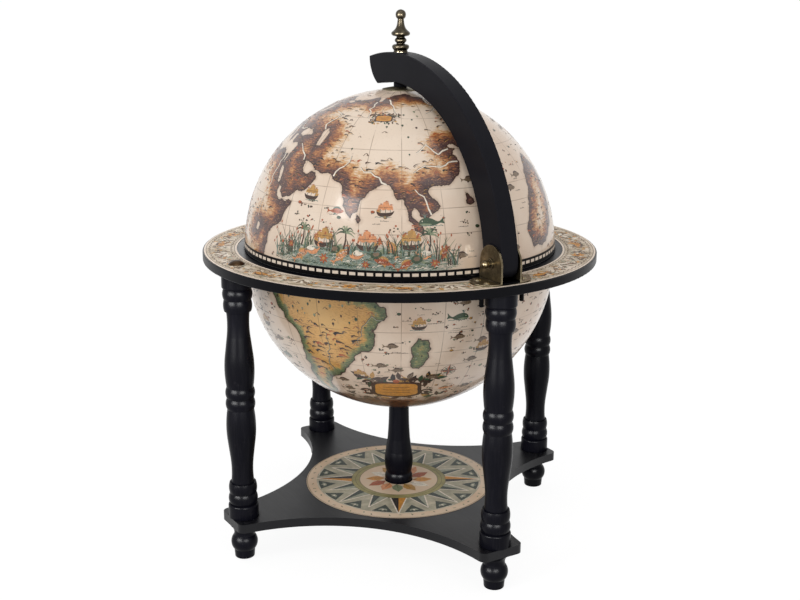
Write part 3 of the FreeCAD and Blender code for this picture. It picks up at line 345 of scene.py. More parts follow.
# Land outlines of the printed map: latitude and longitude in degrees
LANDS = {
    "europe_and_asia": [
        (37, -9), (43, -9), (43.5, -2), (48, -4.5), (50, 1.5), (53, 5), (54, 8.5), (57, 8), (57.5, 10.5),
        (54.5, 11), (54, 14), (54.7, 19), (57.5, 22), (59.5, 24), (60, 29), (60.5, 25), (60, 22),
        (63, 21.5), (65.5, 24.5), (63, 18), (60.5, 17.5), (58, 16.5), (55.5, 14), (56, 12.5), (59, 11),
        (58, 7), (61, 5), (64, 10), (68, 14), (71, 25), (69.5, 31), (67, 41), (66.5, 33), (64.5, 35),
        (65, 40), (68, 44), (68.5, 54), (69.5, 60), (72.5, 69), (67, 71), (71, 77), (73, 82), (76, 95),
        (77.5, 104), (74, 112), (73, 122), (71, 130), (72.5, 140), (71, 152), (69.5, 160), (70, 170),
        (66, 190), (62.5, 180), (60, 170), (62, 164), (56, 163), (51, 157), (55, 155.5), (60, 157),
        (59.5, 152), (59, 143), (55, 137), (53, 141), (47, 139), (43, 133), (40, 128), (37.5, 129.5),
        (35, 129), (34.5, 126.5), (38, 125), (40, 122), (39, 118), (37.5, 122), (35, 119.5), (31, 122),
        (27, 120.5), (23, 116.5), (21.5, 110.5), (21.5, 108), (18.5, 106), (15, 109), (11.5, 109),
        (8.7, 105), (13, 100.5), (9, 99.5), (4, 103.5), (1.5, 104), (4, 100.5), (8, 98.5), (13, 98),
        (16.5, 97), (16, 94.5), (20, 93), (22, 91), (21.5, 87.5), (17, 82.5), (13, 80), (8, 77.5),
        (13, 74.5), (19, 73), (21, 72.5), (22.5, 69), (25, 66.5), (25.5, 61), (27, 56.5), (30, 50),
        (30, 48), (26.5, 50), (24.5, 51.5), (24, 54), (26, 56), (22.5, 59.5), (18, 56.5), (13, 45),
        (15, 42.5), (21, 39), (28, 34.5), (31.5, 34.5), (36.5, 36), (36.5, 30), (37, 27.5), (40, 26),
        (41, 29), (41.5, 36), (41.5, 41.5), (45, 37), (46.5, 38), (45, 35), (46, 31), (43, 28),
        (41, 28.5), (40.5, 23.5), (38, 24), (36.5, 22.5), (39, 20), (42, 19), (45.5, 13.5), (44, 12.5),
        (42, 15), (40, 18.5), (38, 16), (40.5, 14.5), (44, 9), (43, 4), (41, 1.5), (37, -2), (36, -5.5),
    ],
    "africa": [
        (35.8, -5.5), (37, 10), (33, 11), (31, 20), (32.5, 23), (31, 30), (31, 33.5), (28, 33), (21, 37),
        (15, 40), (11.5, 43.5), (12, 51), (4, 48), (-2, 41.5), (-10, 40), (-17, 38), (-20, 35),
        (-26, 33), (-34, 26), (-34.5, 19), (-28, 16), (-17, 11.5), (-6, 12.5), (0, 9.5), (4.5, 8),
        (5, -2), (5, -8), (9, -13.5), (14.5, -17.5), (21, -17), (28, -13), (32, -9.5),
    ],
    "north_america": [
        (8, -77.5), (9, -82), (12, -87), (16, -95), (17, -101), (21, -105.5), (26, -109.5),
        (31.5, -114), (28, -112.5), (23, -109.5), (25, -112), (28, -115), (33, -117.5), (38, -123),
        (43, -124.5), (48.5, -124.5), (55, -131), (59, -139), (60.5, -147), (58, -153), (55, -162),
        (59, -158.5), (61, -165), (65, -167), (68, -166), (71, -156.5), (69.5, -140), (70, -128),
        (68, -115), (68, -100), (72, -95), (70, -86), (64, -88), (60, -94.5), (57, -91), (55, -82),
        (51.5, -80), (55, -79), (59, -78), (62.5, -78), (61, -70), (58, -67), (60, -64.5), (55, -59.5),
        (52, -55.5), (50, -60), (49.5, -66), (46, -61), (44, -66), (43.5, -70), (41.5, -70.5),
        (40, -74), (35.5, -75.8), (32, -81), (27, -80), (25.3, -81), (29.5, -83.5), (30, -89),
        (29, -91), (28, -97), (22, -97.8), (18.5, -95), (19, -91), (21.5, -90), (21, -87), (16, -88.5),
        (15, -83.5), (11, -84), (9, -80), (9, -77),
    ],
    "greenland": [
        (60, -44), (65, -53), (70, -54), (76, -66), (78.5, -72), (82, -55), (83.5, -33), (81, -15),
        (76, -20), (70, -23), (66, -36),
    ],
    "baffin": [(62, -66), (66, -62), (70, -69), (73.5, -80), (72, -88), (68, -74), (64, -77)],
    "newfoundland": [(46.7, -55), (47.5, -52.8), (51.4, -55.6), (47.8, -59.2)],
    "britain": [
        (50.2, -5), (51, 1.2), (53, 0.3), (56, -2), (58.5, -3), (57, -6), (54.5, -3.5), (52, -4.8),
    ],
    "ireland": [(52, -9.8), (55, -8), (54.5, -5.8), (52.3, -6.5)],
    "iceland": [(63.5, -19), (65, -13.8), (66.4, -16), (66, -23.5), (64, -22.3)],
    "japan": [
        (31, 130.5), (33.5, 132), (34, 136), (35.3, 140), (38, 141.5), (41.3, 141), (38, 139),
        (36, 136), (35.3, 133), (33.8, 130),
    ],
    "hokkaido": [(42, 140.5), (43, 145.3), (45.3, 142), (43.2, 140.5)],
    "sakhalin": [(46, 142.5), (50, 144), (54, 143), (51, 142)],
    "luzon": [(18.3, 121), (14, 123.8), (13.8, 120.5)],
    "mindanao": [(9.5, 125.8), (6, 125.3), (7.5, 122.2)],
    "borneo": [
        (6.8, 117), (4, 118), (1, 118.8), (-3, 116.2), (-4, 114.5), (-2.5, 110.5), (1.5, 109.3), (4.5, 114),
    ],
    "sumatra": [(5.5, 95.5), (3.5, 99), (0, 103.5), (-5.7, 105.7), (-2, 101), (1.5, 98)],
    "java": [(-6.5, 105.5), (-6.7, 111), (-8, 114.3), (-8.2, 110), (-7.4, 106.5)],
    "new_guinea": [
        (-1, 131.5), (-2.5, 138), (-5.5, 145.5), (-10.3, 150.5), (-8, 144), (-8.3, 138), (-4, 133.5),
    ],
    "ceylon": [(9.7, 80), (7.5, 81.8), (6, 80.5), (8, 79.8)],
    "cuba": [(22, -84.5), (23.1, -82), (20.2, -74.3), (19.9, -77.5)],
    "hispaniola": [(19.8, -73), (18.6, -68.5), (17.8, -71.5), (18.4, -74.3)],
    "madagascar": [(-12, 49.3), (-16, 50.3), (-25, 47), (-25, 44), (-20, 44.3), (-16, 45)],
    "australia": [
        (-11, 142.5), (-19, 147), (-25, 153), (-32, 152.5), (-37.5, 150), (-38.5, 146), (-38, 141),
        (-35, 138), (-32.5, 134), (-31.5, 131), (-33.8, 123), (-35, 118), (-34, 115), (-26, 113.5),
        (-22, 114), (-20, 119), (-17, 122.3), (-14, 127), (-15, 129.5), (-12, 131), (-12, 136.5),
        (-15, 135.5), (-17.5, 140),
    ],
    "tasmania": [(-41, 145), (-41, 148.2), (-43.5, 146.8)],
    "new_zealand_north": [(-34.5, 173), (-37.5, 178.3), (-41.4, 175), (-39, 174)],
    "new_zealand_south": [(-40.8, 172.8), (-43, 172.7), (-46.5, 169.5), (-45.8, 166.6), (-43, 170)],
    "south_america": [
        (9, -77), (12, -72), (10.5, -64), (8, -60), (4, -52), (0, -50), (-2.5, -44), (-5.5, -35.5),
        (-9, -35), (-13, -38.8), (-18, -39.5), (-23, -42), (-25.5, -48), (-29, -49.5), (-34.5, -54),
        (-36.5, -57), (-39, -62), (-41, -63.5), (-45, -66), (-48, -66), (-52, -69), (-55, -66.5),
        (-55, -70), (-51, -75), (-46, -75), (-41.5, -74), (-37, -73.5), (-30, -71.5), (-23, -70.5),
        (-18.3, -70.5), (-14, -76), (-6, -81), (-3.5, -80), (1, -79.5), (6, -77.5),
    ],
    "falklands": [(-50.8, -61.5), (-51, -57), (-53, -59), (-52.4, -61.5)],
    "south_georgia": [(-53.5, -38.5), (-54, -34.5), (-56, -35), (-55.5, -38)],
    "ocean_isle": [
        (-17, -24), (-18, -20.5), (-22, -19), (-27, -20.5), (-31, -23), (-30, -26), (-25, -25.5),
        (-21, -26),
    ],
    "eastern_isle": [
        (-8, 150), (0, 147), (8, 151), (16, 156), (24, 160), (30, 168), (22, 176), (10, 174), (0, 168),
        (-8, 160),
    ],
    "antarctic": [
        (-64, -60), (-72, -60), (-78, -40), (-72, -12), (-69, 10), (-67, 40), (-66, 60), (-66, 90),
        (-66.5, 120), (-67, 145), (-71, 165), (-77, 168), (-78, -160), (-74, -130), (-73, -100),
        (-70, -75),
    ],
}
LAKES = {
    "caspian": [(47, 50), (45, 53.5), (40, 53.5), (37, 53), (37, 50), (41, 49), (44, 47.5)],
    "great_lakes": [(48.5, -88), (46.5, -81), (43, -80), (42, -87), (46, -91)],
    "east_africa": [(1, 32), (0, 34.5), (-3, 33.5), (-2.5, 31.5)],
}
RIVERS = [
    [(29, -90), (33, -91), (38, -90), (43, -91.5), (47, -95)],
    [(49.5, -66), (46, -73), (44, -77)],
    [(31, 31), (27, 31), (22, 31.5), (18, 33), (15, 32.5), (10, 31), (3, 31.5)],
    [(5, 6), (8, 6.5), (12, 3.5), (16.5, -1), (14, -6), (10, -10)],
    [(45, 29), (44, 23), (47, 19), (48, 14)],
    [(46, 48), (48.5, 45), (53, 48.5), (56, 49), (57.5, 40)],
    [(72, 127), (67, 123), (62, 130), (58, 115)],
    [(70, 83), (62, 90), (56, 93)],
    [(67, 71), (61, 69), (55, 73)],
    [(31.5, 121), (30, 115), (30, 106), (27, 101)],
    [(37.5, 118.5), (35, 113), (40, 108), (36, 103)],
    [(22, 90), (25.5, 85), (29, 78.5)],
    [(24.5, 67.5), (29, 71), (34, 73)],
    [(30, 48), (34, 43.5), (37, 39)],
    [(10, 106.5), (15, 105), (20, 101)],
    [(16, -16.5), (14.5, -12), (12, -11)],
    [(0, -50), (-2, -54), (-3.2, -60), (-3, -66), (-4.5, -73)],
    [(-34, -58.5), (-31, -60), (-27, -58.5), (-22, -57.5), (-17, -57.5)],
    [(-10.5, -36.5), (-9, -40), (-15, -44), (-20, -45.5)],
    [(-6, 12.5), (-4, 16), (0, 18.5), (1, 24), (-5, 26.5)],
    [(-18.5, 36), (-16, 31), (-18, 26), (-14, 23)],
    [(-28.5, 16.5), (-29, 22), (-29.5, 27)],
    [(-35.5, 139), (-34, 142), (-36, 147)],
]
LID_TURN = -126.0
LID_SHIFT = 13.0
LID_LEAVES_OUT = ("borneo", "sumatra", "java", "new_guinea", "mindanao", "madagascar", "ocean_isle")
BOWL_LEAVES_OUT = ("eastern_isle", "africa")
FAR_AT_SEA = -70.0
NEAR_REACH = 0.36
COAST_STEP = 1.9
COAST_WANDER = 0.014
COAST_SEED = 11
LAND_MARGIN = 0.3
WIDEST_LAND = 1.8
NEAR_A_LAKE = 0.9


def bearing(latitude, longitude):
    """Unit vector towards a place on the globe."""
    north = math.radians(latitude)
    east = math.radians(longitude)
    return np.array([math.cos(north) * math.cos(east), math.cos(north) * math.sin(east), math.sin(north)])


def wander(places, closed, chance):
    """Unit vectors along an outline, with each stretch broken up and shifted sideways a little."""
    corners = [bearing(latitude, longitude) for latitude, longitude in places]
    if closed:
        corners.append(corners[0])
    line = []
    for start, stop in zip(corners, corners[1:]):
        span = math.degrees(math.acos(min(1.0, float(start @ stop))))
        pieces = max(1, round(span / COAST_STEP))
        side = np.cross(start, stop)
        side = side / np.linalg.norm(side)
        line.append(start)
        for piece in range(1, pieces):
            point = start + (stop - start) * piece / pieces + side * chance.uniform(-1, 1) * COAST_WANDER
            line.append(point / np.linalg.norm(point))
    line.append(corners[-1])
    return np.array(line)


def distance_to_line(points, line):
    """Millimetres over the globe from each unit vector to a line of unit vectors, where it is near."""
    nearest = np.full(len(points), NEAR_REACH**2)
    for start, stop in zip(line, line[1:]):
        along = stop - start
        near = np.nonzero(points @ start > 1 - NEAR_REACH**2 / 2)[0]
        away = points[near] - start
        share = np.clip(away @ along / (along @ along), 0, 1)
        gap = away - share[:, None] * along
        nearest[near] = np.minimum(nearest[near], np.einsum("ij,ij->i", gap, gap))
    return np.sqrt(nearest) * GLOBE_RADIUS / MM


def is_inside(points, line):
    """Whether each unit vector lies inside a closed line, by crossings in a flat view of the globe."""
    middle = line.mean(0) / np.linalg.norm(line.mean(0))
    east = np.cross((0, 0, 1), middle)
    east = east / np.linalg.norm(east)
    north = np.cross(middle, east)
    across = (points @ east) / (1 + points @ middle)
    along = (points @ north) / (1 + points @ middle)
    corners = np.stack([line @ east, line @ north], 1) / (1 + line @ middle)[:, None]
    inside = np.zeros(len(points), bool)
    for (x0, y0), (x1, y1) in zip(corners, corners[1:]):
        if y0 != y1:
            spans = (along > y0) != (along > y1)
            inside ^= spans & (across < x0 + (along - y0) * (x1 - x0) / (y1 - y0))
    return inside


def map_lines(turn, shift, left_out):
    """Outlines of one half's map as unit vectors, turned about the pole and drawn towards the north."""
    chance = random.Random(COAST_SEED)

    def moved(places):
        return [(shift + latitude * (90 - shift) / 90, longitude + turn) for latitude, longitude in places]

    lands = [wander(moved(places), True, chance) for name, places in LANDS.items() if name not in left_out]
    lakes = [wander(moved(places), True, chance) for places in LAKES.values()]
    rivers = [wander(moved(places), False, chance) for places in RIVERS]
    return lands, lakes, rivers


# The lid turns freely, so its map stands at another angle than the bowl's
LID_LINES = map_lines(LID_TURN, LID_SHIFT, LID_LEAVES_OUT)
BOWL_LINES = map_lines(0.0, 0.0, BOWL_LEAVES_OUT)


def coast_distance(points, lines):
    """Millimetres from each unit vector to the nearest coast or bank: above nought on land."""
    lands, lakes = lines[:2]
    coast = np.full(len(points), FAR_AT_SEA)
    for line in lands:
        middle = line.mean(0)
        middle = middle / np.linalg.norm(middle)
        reach = math.acos(float((line @ middle).min())) + LAND_MARGIN
        near = np.nonzero(points @ middle > math.cos(min(reach, WIDEST_LAND)))[0]
        if len(near) == 0:
            continue
        gap = distance_to_line(points[near], line)
        gap = np.where(is_inside(points[near], line), gap, -gap)
        coast[near] = np.maximum(coast[near], gap)
    for line in lakes:
        near = np.nonzero(points @ line[0] > NEAR_A_LAKE)[0]
        if len(near):
            gap = distance_to_line(points[near], line)
            gap = np.where(is_inside(points[near], line), -gap, gap)
            coast[near] = np.minimum(coast[near], gap)
    return coast


# Dressing of the shells
SHELL_SEGMENTS = 560
OUTER_STEPS = 148
INNER_STEPS = 18
GRATICULE = math.radians(15)
TROPIC = math.radians(23.5)
MERGE_DISTANCE = 0.000005
SMOOTH_ANGLE = math.radians(40)


def graticule(finish, longitude, latitude, fade):
    """Faint brown net of meridians and parallels, broken where the print has worn."""
    across = finish.times(finish.math("COSINE", latitude), GLOBE_RADIUS)
    meridian = finish.times(finish.math("PINGPONG", longitude, GRATICULE / 2), across)
    parallel = finish.times(finish.math("PINGPONG", latitude, GRATICULE / 2), GLOBE_RADIUS)
    tropic = finish.minus(finish.absolute(latitude), TROPIC)
    tropic = finish.times(finish.absolute(tropic), GLOBE_RADIUS)
    gap = finish.math("MINIMUM", finish.math("MINIMUM", meridian, parallel), tropic)
    return finish.times(finish.ease(gap, 0.00062, 0.0002), fade)


def rhumb_lines(finish, ray, middle, count):
    """Faint great circles through one place, as from a compass rose."""
    heart = Vector(bearing(*middle))
    east = Vector((0, 0, 1)).cross(heart).normalized()
    north = heart.cross(east)
    gap = None
    for number in range(count):
        angle = math.pi * number / count
        side = east * math.cos(angle) + north * math.sin(angle)
        lean = finish.absolute(finish.dot(ray, tuple(side)))
        gap = lean if gap is None else finish.math("MINIMUM", gap, lean)
    return finish.ease(gap, 0.00045, 0.00018)


def make_map_finish(name, centre, land_stops, land_depth, patchy, rose_place, lagoon=None, south=None):
    """A varnished old map: parchment sea, shaded land from the coast attribute, net and rhumb lines."""
    finish = Finish(name, **VARNISH)
    place = finish.place()
    x, y, z = finish.parts(place)
    up = finish.minus(z, centre)
    longitude = finish.math("ARCTAN2", y, x)
    latitude = finish.math("ARCSINE", finish.times(up, 0.9999 / GLOBE_RADIUS))
    ray = finish.add("ShaderNodeVectorMath", {"operation": "NORMALIZE"}, {0: finish.join(x, y, up)})
    paper = parchment(finish, place)
    broad = finish.noise(place, 17.0, 4.0)
    middle = finish.noise(place, 75.0, 5.0, 0.6)
    fine = finish.noise(place, 330.0, 4.0, 0.6)
    strokes = finish.join(finish.times(longitude, 22.0), finish.times(latitude, 95.0))
    streak = finish.noise(strokes, 1.0, 5.0, 0.65)

    coast = finish.plus(finish.attribute("coast"), finish.about(middle, 7.0))
    coast = finish.plus(coast, finish.about(fine, 2.5))
    land = finish.ease(coast, -0.3, 0.4)
    depth = finish.plus(coast, finish.about(broad, 34.0 * patchy))
    depth = finish.plus(depth, finish.about(streak, 36.0 * patchy))
    depth = finish.plus(depth, finish.about(middle, 22.0 * patchy))
    depth = finish.plus(depth, finish.about(fine, 9.0 * patchy))
    ground = finish.ramp(finish.times(depth, 1.0 / land_depth), land_stops)
    etched = finish.noise(finish.stretch(strokes, (2.2, 2.2, 1.0)), 1.0, 3.0)
    near = finish.ease(depth, land_depth, land_depth * 0.5)
    groove = finish.times(finish.ease(etched, 0.54, 0.60), near)
    ground = finish.wash(ground, groove, 0.45, tint(92, 58, 46))
    crest = finish.times(finish.ease(etched, 0.42, 0.36), near)
    ground = finish.wash(ground, crest, 0.4, tint(212, 168, 116))
    ground = finish.wash(ground, finish.ease(fine, 0.60, 0.72), 0.22, tint(96, 68, 56))

    worn = finish.ease(finish.noise(place, 30.0, 3.0), 0.25, 0.55)
    net = graticule(finish, longitude, latitude, finish.times(worn, 0.62))
    sea = finish.wash(paper, rhumb_lines(finish, ray, rose_place, 8), 0.30, tint(120, 92, 70))
    if lagoon:
        sea = paint_lagoon(finish, sea, longitude, latitude, streak, fine, lagoon)
    shore = finish.times(finish.ease(coast, -5.0, -0.4), 0.34)
    sea = finish.mix(shore, sea, tint(150, 116, 88))
    colour = finish.mix(land, sea, ground)
    if south:
        below = finish.plus(latitude, finish.about(middle, 0.16))
        brown = finish.ramp(streak, SOUTH_BROWNS)
        colour = finish.wash(colour, finish.ease(below, south + 0.05, south - 0.05), 0.96, brown)
    colour = finish.mix(finish.ease(finish.absolute(coast), 0.95, 0.35), colour, tint(58, 38, 30))
    colour = finish.mix(net, colour, tint(104, 78, 58))
    finish.set("Base Color", colour)
    finish.bump(finish.plus(fine, finish.times(land, 0.6)), 0.05, 0.0004)
    return finish.material


def paint_lagoon(finish, sea, longitude, latitude, streak, fine, lagoon):
    """A wash of grey-green water with darker wave strokes, fading out at its edge."""
    middle_longitude, middle_latitude, half_width, half_height = lagoon
    across = finish.minus(longitude, math.radians(middle_longitude))
    across = finish.times(across, 1.0 / math.radians(half_width))
    along = finish.minus(latitude, math.radians(middle_latitude))
    along = finish.times(along, 1.0 / math.radians(half_height))
    spread = finish.plus(finish.times(across, across), finish.times(along, along))
    spread = finish.plus(spread, finish.about(streak, 1.1))
    wash = finish.ease(spread, 1.05, 0.45)
    sea = finish.wash(sea, wash, 0.9, tint(122, 142, 132))
    waves = finish.join(finish.times(longitude, 46.0), finish.times(latitude, 210.0))
    ripple = finish.noise(waves, 1.0, 3.0)
    deep = finish.times(finish.ease(ripple, 0.50, 0.62), wash)
    sea = finish.wash(sea, deep, 0.8, tint(72, 98, 90))
    crest = finish.times(finish.ease(ripple, 0.42, 0.36), wash)
    return finish.wash(sea, crest, 0.7, tint(206, 196, 172))


def make_liner_finish(name, centre):
    """Plain tea-coloured lining paper with a faint net of lines."""
    finish = Finish(name, Roughness=0.55)
    place = finish.place()
    x, y, z = finish.parts(place)
    up = finish.minus(z, centre)
    longitude = finish.math("ARCTAN2", y, x)
    latitude = finish.math("ARCSINE", finish.times(up, 0.98 / (GLOBE_RADIUS - SHELL_WALL)))
    paper = parchment(finish, place)
    mottle = finish.noise(place, 45.0, 6.0, 0.65)
    paper = finish.wash(paper, finish.ease(mottle, 0.4, 0.7), 0.5, tint(176, 140, 104))
    net = graticule(finish, longitude, latitude, 0.5)
    finish.set("Base Color", finish.mix(net, paper, tint(96, 70, 50)))
    finish.bump(mottle, 0.1, 0.0005)
    return finish.material


def only_select(thing):
    """Make one object the only selected and the active one."""
    bpy.ops.object.select_all(action="DESELECT")
    thing.select_set(True)
    bpy.context.view_layer.objects.active = thing


def spin_piece(name, outline, segments, closed=True):
    """An outline of radius and height pairs, spun about the polar axis with a screw modifier.

    An outline that isn't closed starts and ends on the axis.
    """
    mesh = bpy.data.meshes.new(name)
    edges = [(place, place + 1) for place in range(len(outline) - 1)]
    if closed:
        edges.append((len(outline) - 1, 0))
    mesh.from_pydata([(reach, 0, height) for reach, height in outline], edges, [])
    piece = bpy.data.objects.new(name, mesh)
    bpy.context.scene.collection.objects.link(piece)
    only_select(piece)
    screw = piece.modifiers.new("spin", "SCREW")
    screw.axis = "Z"
    screw.angle = 2 * math.pi
    screw.steps = segments
    screw.render_steps = segments
    screw.use_merge_vertices = True
    screw.merge_threshold = MERGE_DISTANCE
    bpy.ops.object.modifier_apply(modifier="spin")
    bpy.ops.object.mode_set(mode="EDIT")
    bpy.ops.mesh.select_all(action="SELECT")
    bpy.ops.mesh.normals_make_consistent(inside=False)
    bpy.ops.object.mode_set(mode="OBJECT")
    bpy.ops.object.shade_smooth_by_angle(angle=SMOOTH_ANGLE)
    return piece


def arc(radius, centre, rises, steps):
    """Points of an arc about a centre on the polar axis, from one rise above it to another."""
    first, last = (math.asin(rise / radius) for rise in rises)
    angles = [first + (last - first) * step / steps for step in range(steps + 1)]
    return [(radius * math.cos(angle), centre + radius * math.sin(angle)) for angle in angles]


def make_half_globe(name, node, body, centre, side, hole, lines, outside, inside):
    """A shell with a finely divided outside for the map and a plainer inside."""
    inner = GLOBE_RADIUS - SHELL_WALL
    outer_pole = side * math.sqrt(GLOBE_RADIUS**2 - hole**2)
    inner_pole = side * math.sqrt(inner**2 - hole**2)
    outline = arc(GLOBE_RADIUS, centre, (0, outer_pole), OUTER_STEPS)
    outline += arc(inner, centre, (inner_pole, 0), INNER_STEPS)
    shell = spin_piece(name, outline, SHELL_SEGMENTS)
    shell.data.materials.append(outside)
    shell.data.materials.append(inside)
    middle_of_wall = GLOBE_RADIUS - SHELL_WALL / 2
    for face in shell.data.polygons:
        reach = (face.center - Vector((0, 0, centre))).length
        face.material_index = 0 if reach > middle_of_wall else 1
    points = np.zeros(len(shell.data.vertices) * 3)
    shell.data.vertices.foreach_get("co", points)
    points = points.reshape(-1, 3) - np.array([0, 0, centre])
    points /= np.linalg.norm(points, axis=1)[:, None]
    coast = shell.data.attributes.new("coast", "FLOAT", "POINT")
    coast.data.foreach_set("value", coast_distance(points, lines).astype(np.float32))
    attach(shell, body)
    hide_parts(node)


UPPER_LAND = [
    (0.00, tint(70, 50, 50)), (0.20, tint(84, 60, 58)), (0.36, tint(128, 80, 58)),
    (0.50, tint(174, 114, 68)), (0.64, tint(200, 154, 104)), (0.82, tint(214, 190, 163)),
    (1.00, tint(219, 200, 180)),
]
LOWER_LAND = [
    (0.00, tint(70, 86, 58)), (0.12, tint(98, 114, 78)), (0.20, tint(140, 136, 84)),
    (0.27, tint(198, 149, 82)), (0.60, tint(210, 161, 93)), (1.00, tint(215, 172, 110)),
]
LAGOON = (-44.0, 5.2, 34.0, 6.6)
UPPER_ROSE = (21.0, -57.0)
LOWER_ROSE = (-33.0, -10.0)
SOUTH_LIMIT = math.radians(-52)
SOUTH_BROWNS = [(0.35, tint(44, 24, 10)), (0.5, tint(92, 50, 18)), (0.7, tint(152, 90, 36))]

lid_map = make_map_finish("lid_map", LID_CENTRE, UPPER_LAND, 34.0, 1.0, UPPER_ROSE, lagoon=LAGOON)
bowl_map = make_map_finish("bowl_map", BOWL_CENTRE, LOWER_LAND, 46.0, 0.45, LOWER_ROSE, south=SOUTH_LIMIT)
lid_liner = make_liner_finish("lid_liner", LID_CENTRE)
bowl_liner = make_liner_finish("bowl_liner", BOWL_CENTRE)
make_half_globe("lid_globe", "upper_hemisphere", "lid", LID_CENTRE, 1, POLE_HOLE, LID_LINES, lid_map,
                lid_liner)
make_half_globe("bowl_globe", "lower_hemisphere", "stand", BOWL_CENTRE, -1, ROD_HOLE, BOWL_LINES, bowl_map,
                bowl_liner)


# Rim band of the lid
BAND_CELLS = 120
BAND_SEGMENTS = 720
BAND_STEPS = 6
PAPER_GAP = 0.00004
OBLONG_LOW = 0.0045
OBLONG_HIGH = 0.0087
OBLONG_FADE = 0.0004


def between(finish, value, low, high, fade):
    """1 between two values, fading to 0 at both."""
    return finish.times(finish.ease(value, low, low + fade), finish.ease(value, high, high - fade))


def make_band_finish():
    """Black rim with a row of cream oblongs and a thin dark line over them."""
    finish = Finish("rim_band", Roughness=0.3, Specular_IOR_Level=0.10)
    place = finish.place()
    x, y, z = finish.parts(place)
    around = finish.times(finish.math("ARCTAN2", y, x), BAND_CELLS / (2 * math.pi))
    cell = finish.absolute(finish.about(finish.math("FRACT", finish.plus(around, 200.0)), 1.0))
    ragged = finish.about(finish.noise(place, 500.0, 3.0), 0.0005)
    rise = finish.plus(finish.minus(z, LID_CENTRE), ragged)
    tall = between(finish, rise, OBLONG_LOW, OBLONG_HIGH, OBLONG_FADE)
    wide = finish.ease(finish.plus(cell, finish.times(ragged, 60.0)), 0.375, 0.345)
    paper = finish.mix(0.55, parchment(finish, place), tint(246, 236, 222))
    black = finish.mix(finish.noise(place, 60.0, 4.0), tint(5, 5, 7), tint(13, 12, 15))
    finish.set("Base Color", finish.wash(black, tall, wide, paper))
    return finish.material


def make_band():
    """The thin paper band over the lid's rim."""
    outline = arc(BAND_RADIUS, LID_CENTRE, (0, BAND_HEIGHT), BAND_STEPS)
    outline += arc(GLOBE_RADIUS + PAPER_GAP, LID_CENTRE, (BAND_HEIGHT, 0), BAND_STEPS)
    band = spin_piece("rim_band", outline, BAND_SEGMENTS)
    band.data.materials.append(make_band_finish())
    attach(band, "lid")
    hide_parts("equator_band")


make_band()


# Papers on the ring and the base: radii and half widths of their printed circles
RING_FIELD = (0.2234, 0.2624)
RING_FADE = 0.0012
RING_CIRCLES = ((0.2240, 0.0004), (0.2618, 0.0004))
RING_TONES = [(0.35, tint(148, 131, 108)), (0.5, tint(186, 170, 146)), (0.68, tint(214, 201, 183))]
BASE_CIRCLES = ((0.0560, 0.0005), (0.0618, 0.0003), (0.0676, 0.0005), (0.1308, 0.0004))
BASE_OLIVE = (0.0560, 0.0678)
OLIVE_FADE = 0.0006
STAR_INNER_EDGE = (0.0675, 0.0685)
STAR_OUTER_EDGE = (0.1180, 0.1165)
SAGES = [(0.3, tint(124, 127, 110)), (0.55, tint(164, 161, 140)), (0.7, tint(194, 187, 164))]
MOSSES = [(0.3, tint(108, 106, 58)), (0.7, tint(160, 152, 94))]
LINE_FADE = 0.0002


def axis_reach(finish, place):
    """Distance from the polar axis."""
    x, y, z = finish.parts(place)
    return finish.math("SQRT", finish.plus(finish.times(x, x), finish.times(y, y)))


def rule_circles(finish, paper, reach, circles, strength, colour):
    """Thin printed circles about the polar axis."""
    for radius, half in circles:
        gap = finish.absolute(finish.minus(reach, radius))
        line = finish.times(finish.ease(gap, half + LINE_FADE, half), strength)
        paper = finish.mix(line, paper, colour)
    return paper


def make_ring_paper():
    """Parchment with thin brown border lines."""
    finish = Finish("ring_paper", **MATT_PAPER)
    place = finish.place()
    reach = axis_reach(finish, place)
    paper = parchment(finish, place)
    mottle = finish.noise(place, 55.0, 5.0, 0.65)
    broad = finish.noise(place, 24.0, 4.0, 0.6)
    field = between(finish, reach, *RING_FIELD, RING_FADE)
    paper = finish.mix(0.5, paper, tint(240, 230, 216))
    tone = finish.ramp(mottle, RING_TONES)
    paper = finish.wash(paper, field, finish.ease(broad, 0.15, 0.55), tone)
    finish.set("Base Color", rule_circles(finish, paper, reach, RING_CIRCLES, 0.8, tint(78, 62, 48)))
    finish.bump(mottle, 0.06, 0.0004)
    return finish.material


def make_base_paper():
    """Parchment with a sage field for the rose and an olive ring round the plain middle."""
    finish = Finish("base_paper", **MATT_PAPER)
    place = finish.place()
    paper = parchment(finish, place)
    mottle = finish.noise(place, 60.0, 5.0, 0.65)
    paper = finish.wash(paper, mottle, 0.6, tint(212, 180, 132))
    reach = finish.plus(axis_reach(finish, place), finish.about(mottle, 0.0012))
    star_field = finish.times(finish.ease(reach, *STAR_INNER_EDGE), finish.ease(reach, *STAR_OUTER_EDGE))
    paper = finish.wash(paper, star_field, 0.85, finish.ramp(mottle, SAGES))
    olive = between(finish, reach, *BASE_OLIVE, OLIVE_FADE)
    paper = finish.wash(paper, olive, 0.9, finish.ramp(mottle, MOSSES))
    finish.set("Base Color", rule_circles(finish, paper, reach, BASE_CIRCLES, 0.75, tint(92, 78, 52)))
    finish.bump(mottle, 0.06, 0.0004)
    return finish.material


dress("ring_print", make_ring_paper())
dress("base_print", make_base_paper())


# Inks of the printed ornament
INKS = {
    "umber": tint(72, 50, 38), "soot": tint(38, 35, 34), "rust": tint(172, 88, 50),
    "peach": tint(220, 150, 104), "ochre": tint(190, 144, 80), "teal": tint(106, 130, 120),
    "leaf": tint(52, 76, 52), "sage": tint(134, 144, 114), "cream": tint(236, 224, 206),
    "taupe": tint(128, 108, 86), "amber": tint(206, 142, 62), "slate": tint(62, 72, 66),
    "stone": tint(158, 160, 140),
}


